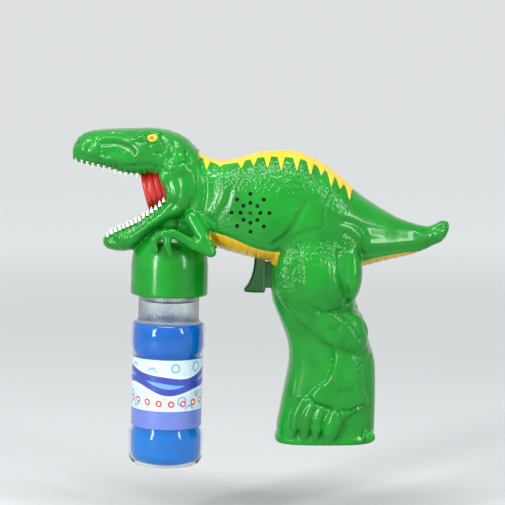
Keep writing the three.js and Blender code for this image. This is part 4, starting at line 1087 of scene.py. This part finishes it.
wireRed = plainPlastic("wireRed", (0.5, 0.02, 0.02), (0.42, 0.015, 0.015), 0.4, 0.0)
wireBlack = plainPlastic("wireBlack", (0.012, 0.012, 0.012), (0.02, 0.02, 0.02), 0.4, 0.0)
softSeal = plainPlastic("softSeal", (0.70, 0.72, 0.73), (0.62, 0.64, 0.65), 0.6, 0.0)
steelBright = metal("steelBright", (0.52, 0.53, 0.55), 0.28)
brassBright = metal("brassBright", (0.62, 0.40, 0.10), 0.3)
clearWall = clearPlastic("clearWall", (0.97, 0.985, 0.99), 0.02)
frostedNeck = clearPlastic("frostedNeck", (0.86, 0.90, 0.91), 0.3)
clearTube = clearPlastic("clearTube", (0.88, 0.93, 0.95), 0.12)
bubbleLiquid = liquidBlue()
sleevePrint = labelPrint()

cadLooks = {
    "green_plastic": dinoPlain, "red_plastic": mouthRed, "white_plastic": innerWhite,
    "black_plastic": innerBlack, "grey_plastic": innerGrey, "cell_jacket": cellJacket,
    "steel": steelBright, "brass": brassBright, "clear_plastic": clearTube, "solution": bubbleLiquid,
    "label": sleevePrint, "soft_white": softSeal, "red_wire": wireRed, "black_wire": wireBlack,
}
for part in frame["record"]["subparts"]:
    dress(nodes[part["node"]], cadLooks[part["material_slot"]])

left, right, door = makeShells()
for thing, cadNode, body in (
    (left, "left_shell", "gun"), (right, "right_shell", "gun"), (door, "battery_door", "battery_door"),
):
    paintMarks(thing)
    finishPiece(thing, dinoPainted, body, cadNode, 38)
print("shells done:", [len(t.data.polygons) for t in (left, right, door)])


teeth = {
    # line along the jaw, height and radius at the root, way it points, how many, distance inside the jaw
    "lower": ([(-82.4, 76.4), (-84.6, 74.0), (-87.6, 71.6), (-90.6, 69.6), (-94.4, 66.9), (-98.4, 65.0),
               (-103, 63.0), (-107.4, 61.0), (-110.6, 58.8)], 1.7, 1.1, 1, 15, 0.6),
    "upper": ([(-125.6, 95.2), (-121.0, 94.0), (-116.5, 92.8), (-112.0, 91.8), (-107.6, 90.4),
               (-103.4, 88.9), (-99.4, 88.2), (-95.4, 88.0)], 1.1, 0.8, -1, 12, 0.9),
    "sink": 1.2,
    "tip": 0.16,
}


def rowOfTeeth(side, stations, row):
    # small pegs along the edge of a jaw, every second one shorter
    line, tall, wide, up, count, inset = row
    parts = []
    widths = sorted((s[0], s[3]) for s in stations)
    for i, x in enumerate(np.linspace(line[0][0], line[-1][0], count)):
        z = float(np.interp(x, *zip(*sorted(line))))
        y = side * (float(np.interp(x, *zip(*widths))) * 0.86 - inset)
        size = tall * (1.0 if i % 2 else 0.72)
        root, end = (x, y, z - up * teeth["sink"]), (x - 0.3, y, z + up * size)
        parts.append(taper(root, end, wide, teeth["tip"], 1.0, 12))
    return parts


def makeTeeth():
    parts = []
    for side in (-1, 1):
        parts += rowOfTeeth(side, jawStations, teeth["lower"])
        parts += rowOfTeeth(side, skullStations, teeth["upper"])
    finishPiece(joinAll(parts, "teeth"), toothWhite, "gun", angle=50)


makeTeeth()

liner = {"radius": 11.0, "length": 10.0, "wall": 1.5, "flange": 13.2, "ribs": 3, "ribHeight": 0.4}


def makeLiner():
    # a red throat sleeve with ribs round it, flared at its mouth, held by a flange at its back
    back, flange, radius = -liner["length"], liner["flange"], liner["radius"]
    bore = radius - liner["wall"]
    outer, inner = [], []
    steps = 40
    for i in range(steps + 1):
        along = back + 1.4 - (back + 1.4) * i / steps
        wave = min(1, 1.6 * abs(math.sin(math.pi * liner["ribs"] * i / steps)))
        outer.append((radius - liner["ribHeight"] * (1 - wave), along))
        inner.append((bore - liner["ribHeight"] * (1 - wave), along))
    outer[-1] = (radius - 0.5, 0.0)
    profile = [(flange, back), (flange, back + 1.2)] + outer + [(radius - 1.0, 0.3)]
    profile += inner[::-1] + [(bore - liner["ribHeight"], back), (flange, back)]
    made = turnProfile("mouthLiner", profile, throatFrame, 96)
    finishPiece(made, mouthRed, "gun", "mouth_liner")


makeLiner()


trigger = {"half": 4.5, "recess": 0.9, "rim": 1.0, "round": 0.35}
triggerOutline = [
    (-32.6, 46.8), (-38, 46.8), (-38.2, 44), (-38.7, 40.4), (-39.7, 36.8), (-41.2, 33.6), (-43.3, 30.9),
    (-42.9, 29.7), (-38.5, 29.3), (-33.2, 29.3), (-32.6, 30.4),
]


def sinkSide(finger, side):
    # one flat side of the plate is inset for its rim and pushed in
    activate(finger)
    bpy.ops.object.mode_set(mode="EDIT")
    bpy.ops.mesh.select_mode(type="FACE")
    bpy.ops.mesh.select_all(action="DESELECT")
    bpy.ops.object.mode_set(mode="OBJECT")
    flat = side * trigger["half"] * mm
    for face in finger.data.polygons:
        face.select = abs(face.normal.y * side - 1) < 0.01 and abs(face.center.y - flat) < 0.0002
    bpy.ops.object.mode_set(mode="EDIT")
    bpy.ops.mesh.inset(thickness=trigger["rim"] * mm)
    bpy.ops.transform.translate(value=(0, -side * trigger["recess"] * mm, 0))
    bpy.ops.object.mode_set(mode="OBJECT")


def makeTrigger():
    # the curved finger plate is drawn, made thick, sunk between its rims and rounded
    half = trigger["half"]
    clearSelection()
    bpy.ops.mesh.primitive_circle_add(vertices=len(triggerOutline), radius=0.01, fill_type="NGON")
    finger = bpy.context.object
    setPoints(finger, np.array([(x, -half, z) for x, z in triggerOutline]) * mm)
    editAll()
    bpy.ops.mesh.extrude_region_move(TRANSFORM_OT_translate={"value": (0, 2 * half * mm, 0)})
    closeEdit()
    for side in (-1, 1):
        sinkSide(finger, side)
    addModifier(finger, "BEVEL", width=trigger["round"] * mm, segments=3, limit_method="ANGLE",
                angle_limit=math.radians(28))
    slider = block(-34, -16, -3.5, 3.5, 31.5, 44.5)
    addModifier(slider, "BEVEL", width=0.4 * mm, segments=2)
    combine(slider, taper((-20, 0, 40.5), (-14, 0, 40.5), 3.2, 3.2, 1.0, 32))  # seat of the spring
    combine(slider, block(-24.2, -20.3, 0, 5, 33, 37))           # notch of the pull bar
    combine(finger, slider, "UNION")
    finger.name = "triggerFinger"
    finishPiece(finger, triggerGreenPaintedShade, "trigger", "trigger", 35)


makeTrigger()


bottle = {
    "outside": [
        (0, -83.6), (9.5, -84.2), (13.2, -85.3), (14.6, -85.5), (16.2, -85.2), (17.5, -84.1),
        (18.35, -82.2), (18.7, -80), (18.8, -77.5), (18.8, -71.5), (18.65, -69.6), (18.2, -68.2),
        (17.7, -67.2), (17.5, -66), (17.5, -30.5), (17.7, -29.4), (18.2, -28.4), (18.65, -27.2),
        (18.8, -25.4), (18.8, -18.4), (18.6, -16.4), (18.0, -14.8), (17.0, -13.7), (16.0, -13.2),
        (15.3, -12.6), (15.2, -11.6), (15.2, 0.4), (14.8, 0.9), (12.6, 1.1), (12.2, 1.5), (12.2, 13.3),
        (11.9, 13.7),
    ],
    "shoulder": 27,                                              # the inner wall follows the outside up to here
    "mouth": [(11.2, 13.7), (10.9, 13.4), (10.9, -1.0), (11.6, -2.6), (13.4, -3.2)],
    "ribbed": (-11.8, 0.5),
    "frosted": (-13.4, 1.2),
    "wall": 0.8,
    "ribs": 60,
    "ribDepth": 0.4,
    "steps": 192,
}


def insideBottle(extra=0.0):
    # the inner wall, a wall's thickness inside the outer one
    wall = bottle["wall"] + extra
    rows = []
    for r, h in bottle["outside"][:bottle["shoulder"]]:
        if r == 0:
            rows.append((0, h + wall))
        elif h < -83:
            rows.append((max(r - wall, 0.5), h + wall))
        else:
            rows.append((r - wall, h))
    return rows


def makeBottle():
    profile = bottle["outside"] + bottle["mouth"] + insideBottle()[::-1]
    made = turnProfile("bottleClear", profile, Matrix(), bottle["steps"])
    co = points(made)
    radius = np.hypot(co[:, 0], co[:, 1])
    turn = np.arctan2(co[:, 1], co[:, 0])
    height = co[:, 2] / mm
    low, high = bottle["ribbed"]
    ribbed = (height > low) & (height < high) & (radius > 14.9 * mm)
    wave = 0.5 + 0.5 * np.cos(turn * bottle["ribs"])
    co[:, :2] *= (1 - ribbed * bottle["ribDepth"] * mm * wave / np.maximum(radius, 1e-6))[:, None]
    setPoints(made, co)
    low, high = bottle["frosted"]
    neck = [face.index for face in made.data.polygons
            if low < face.center.z / mm < high and face.center.xy.length > 14.2 * mm]
    made.data.transform(bottleFrame)
    finishPiece(made, clearWall, "bottle", "bottle")
    made.data.materials.append(frostedNeck)
    for i in neck:
        made.data.polygons[i].material_index = 1


def makeSolution():
    # filled to just below the shoulder, its surface drawn up a little at the wall
    profile = [p for p in insideBottle(0.12) if p[1] < -14.2]
    edge = profile[-1][0]
    profile += [(edge - 0.3, -14.0), (edge - 1.2, -14.3), (0, -14.3)]
    made = turnProfile("solutionFill", profile, bottleFrame, 96)
    finishPiece(made, bubbleLiquid, "bottle", "bubble_solution")


label = {"radius": 17.75, "thick": 0.3, "low": -65.6, "high": -30.9, "rows": 70, "steps": 240, "drops": 18}


def makeLabel():
    # a thin sleeve; its print is laid out by height and turn, stored on its points
    high, low, r = label["high"], label["low"], label["radius"]
    rows = [low + (high - low) * i / label["rows"] for i in range(label["rows"] + 1)]
    profile = [(r - label["thick"], low)] + [(r, h) for h in rows] + [(r - label["thick"], high)]
    made = turnProfile("labelSleeve", profile + profile[:1], Matrix(), label["steps"])
    co = points(made)
    turn = np.arctan2(co[:, 1], co[:, 0])
    rise = co[:, 2] / mm - low
    sway = np.sin(2 * turn + 1.1)
    ribbon = np.abs(rise - 24.0 - 2.6 * sway) + 0.7 * (1 - np.cos(4 * turn))
    around = turn / (2 * math.pi) * label["drops"]
    nearest = np.abs(around - np.round(around)) * 2 * math.pi * r / label["drops"]
    storeMarks(made, ribbon=ribbon, drops=np.hypot(nearest, rise - 13.6 - 0.8 * sway), rise=rise)
    made.data.transform(bottleFrame)
    finishPiece(made, sleevePrint, "bottle", "bottle_label")


makeBottle()
makeSolution()
makeLabel()
print("bottle done")


coil = {"from": -19.4, "to": -6.7, "z": 40.5, "radius": 2.4, "wire": 0.38, "turns": 6, "kept": 0.53}


def makeSpring():
    # one ring of wire wound along X by the screw modifier; in the toy the trigger squeezes it as it goes back
    clearSelection()
    bpy.ops.mesh.primitive_circle_add(
        vertices=10, radius=coil["wire"] * mm, fill_type="NOTHING",
        location=(coil["radius"] * mm, 0, 0), rotation=(math.pi / 2, 0, 0),
    )
    made = settle(bpy.context.object, "triggerCoil")
    length = coil["to"] - coil["from"] - 2 * coil["wire"]
    steps = 20 * coil["turns"]
    addModifier(made, "SCREW", angle=2 * math.pi * coil["turns"], screw_offset=length * mm, steps=steps,
                render_steps=steps, axis="Z")
    activate(made)
    editAll()
    bpy.ops.mesh.fill_holes(sides=12)
    closeEdit()
    made.data.transform(Matrix.Rotation(math.pi / 2, 4, "Y"))
    made.data.transform(Matrix.Translation(Vector((coil["from"] + coil["wire"], 0, coil["z"])) * mm))
    finishPiece(made, steelBright, "gun", "trigger_spring", 60)
    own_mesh(made)


makeSpring()

leaf = {
    "x": -15.1, "half": 2.2, "low": 18.4, "high": 34.0, "thick": 0.5,
    "bendFrom": 22.2, "bendTo": 31.2, "dimple": 0.3,
}


def makeLeaf():
    # a thin contact strip with a pressed dimple; in the toy its foot stays in the switch and the trigger pushes
    # its end
    clearSelection()
    bpy.ops.mesh.primitive_grid_add(x_subdivisions=24, y_subdivisions=8, size=1, rotation=(0, math.pi / 2, 0))
    made = settle(bpy.context.object, "switchLeafBent")
    co = points(made)
    co[:, 1] *= 2 * leaf["half"] * mm
    co[:, 2] = ((leaf["low"] + leaf["high"]) / 2 + co[:, 2] * (leaf["high"] - leaf["low"])) * mm
    far = np.hypot(co[:, 1], co[:, 2] - leaf["bendTo"] * mm) / mm
    co[:, 0] = (leaf["x"] + leaf["dimple"] * np.exp(-far ** 2)) * mm
    setPoints(made, co)
    addModifier(made, "SOLIDIFY", thickness=leaf["thick"] * mm, offset=0)
    addModifier(made, "BEVEL", width=0.1 * mm, segments=2, limit_method="ANGLE")
    smoothShade(made, 40)
    dress(made, brassBright)
    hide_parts("switch_leaf")
    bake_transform(made)


makeLeaf()
print("small parts done")


# camera, light and floor

view = {"target": (-0.039, 0.0, 0.049), "distance": 0.845, "elevation": 5.4, "frameWidth": 0.2525}
ground = {
    "radius": 9, "below": 0.032,                                 # the bottle can be drawn out above it
    # colour of the floor, and a painted glow that rises with distance from the middle
    "colour": (0.50, 0.51, 0.52, 1), "floorGlow": (0.97, 1.0, 1.0, 1),
    "floorGlowFrom": 0.2, "floorGlowTo": 1.6, "floorGlowMost": 0.34,
}
sky = {"Color": (0.79, 0.81, 0.81, 1), "Strength": 0.92}
studio = [
    # name, place, size, power: two tall strips beside the toy and a broad one above
    ("leftStrip", (-0.62, -0.62, 0.30), (0.12, 0.70), 7.2),
    ("rightStrip", (0.58, -0.60, 0.34), (0.11, 0.60), 3.8),
    ("topBox", (-0.10, -0.30, 0.85), (0.60, 0.26), 7.0),
]


def aim(name, data, place, target):
    # a camera or lamp that looks at the target
    holder = bpy.data.objects.new(name, data)
    bpy.context.scene.collection.objects.link(holder)
    holder.location = place
    holder.rotation_euler = (target - Vector(place)).to_track_quat("-Z", "Y").to_euler()
    return holder


def layFloor():
    clearSelection()
    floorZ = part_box("bottle")[0].z - ground["below"]
    bpy.ops.mesh.primitive_circle_add(
        vertices=96, radius=ground["radius"], fill_type="NGON", location=(0, 0, floorZ),
    )
    floor = settle(bpy.context.object, "floor")
    made, tree, shader = newMaterial("paleFloor")
    setInputs(shader, Base_Color=ground["colour"], Roughness=0.7, Specular_IOR_Level=0.2)
    reach = onObject(tree, tree.nodes.new("ShaderNodeVectorMath"))  # painted glow: the floor's emission rises with distance, so the far floor fades into the sky
    reach.operation = "LENGTH"
    floorGlow = spread(tree, reach, "Value", ground["floorGlowFrom"], ground["floorGlowTo"], 0.0, ground["floorGlowMost"])
    shader.inputs["Emission Color"].default_value = ground["floorGlow"]
    wire(tree, floorGlow, "Result", shader, "Emission Strength")
    dress(floor, made)


def setStage():
    target = Vector(view["target"])
    lift = math.radians(view["elevation"])
    away = Vector((0, -math.cos(lift), math.sin(lift))) * view["distance"]
    camera = aim("camera", bpy.data.cameras.new("camera"), target + away, target)
    camera.data.angle = 2 * math.atan(view["frameWidth"] / 2 / view["distance"])
    camera.data.clip_start = 0.01
    bpy.context.scene.camera = camera
    layFloor()
    world = bpy.data.worlds.new("studio")
    bpy.context.scene.world = world
    world.use_nodes = True
    setInputs(world.node_tree.nodes["Background"], **sky)
    for name, place, size, power in studio:
        lamp = bpy.data.lights.new(name, "AREA")
        lamp.shape = "RECTANGLE"
        lamp.size, lamp.size_y = size
        lamp.energy = power
        aim(name, lamp, place, target)
    bpy.context.scene.view_settings.view_transform = "Standard"


setStage()
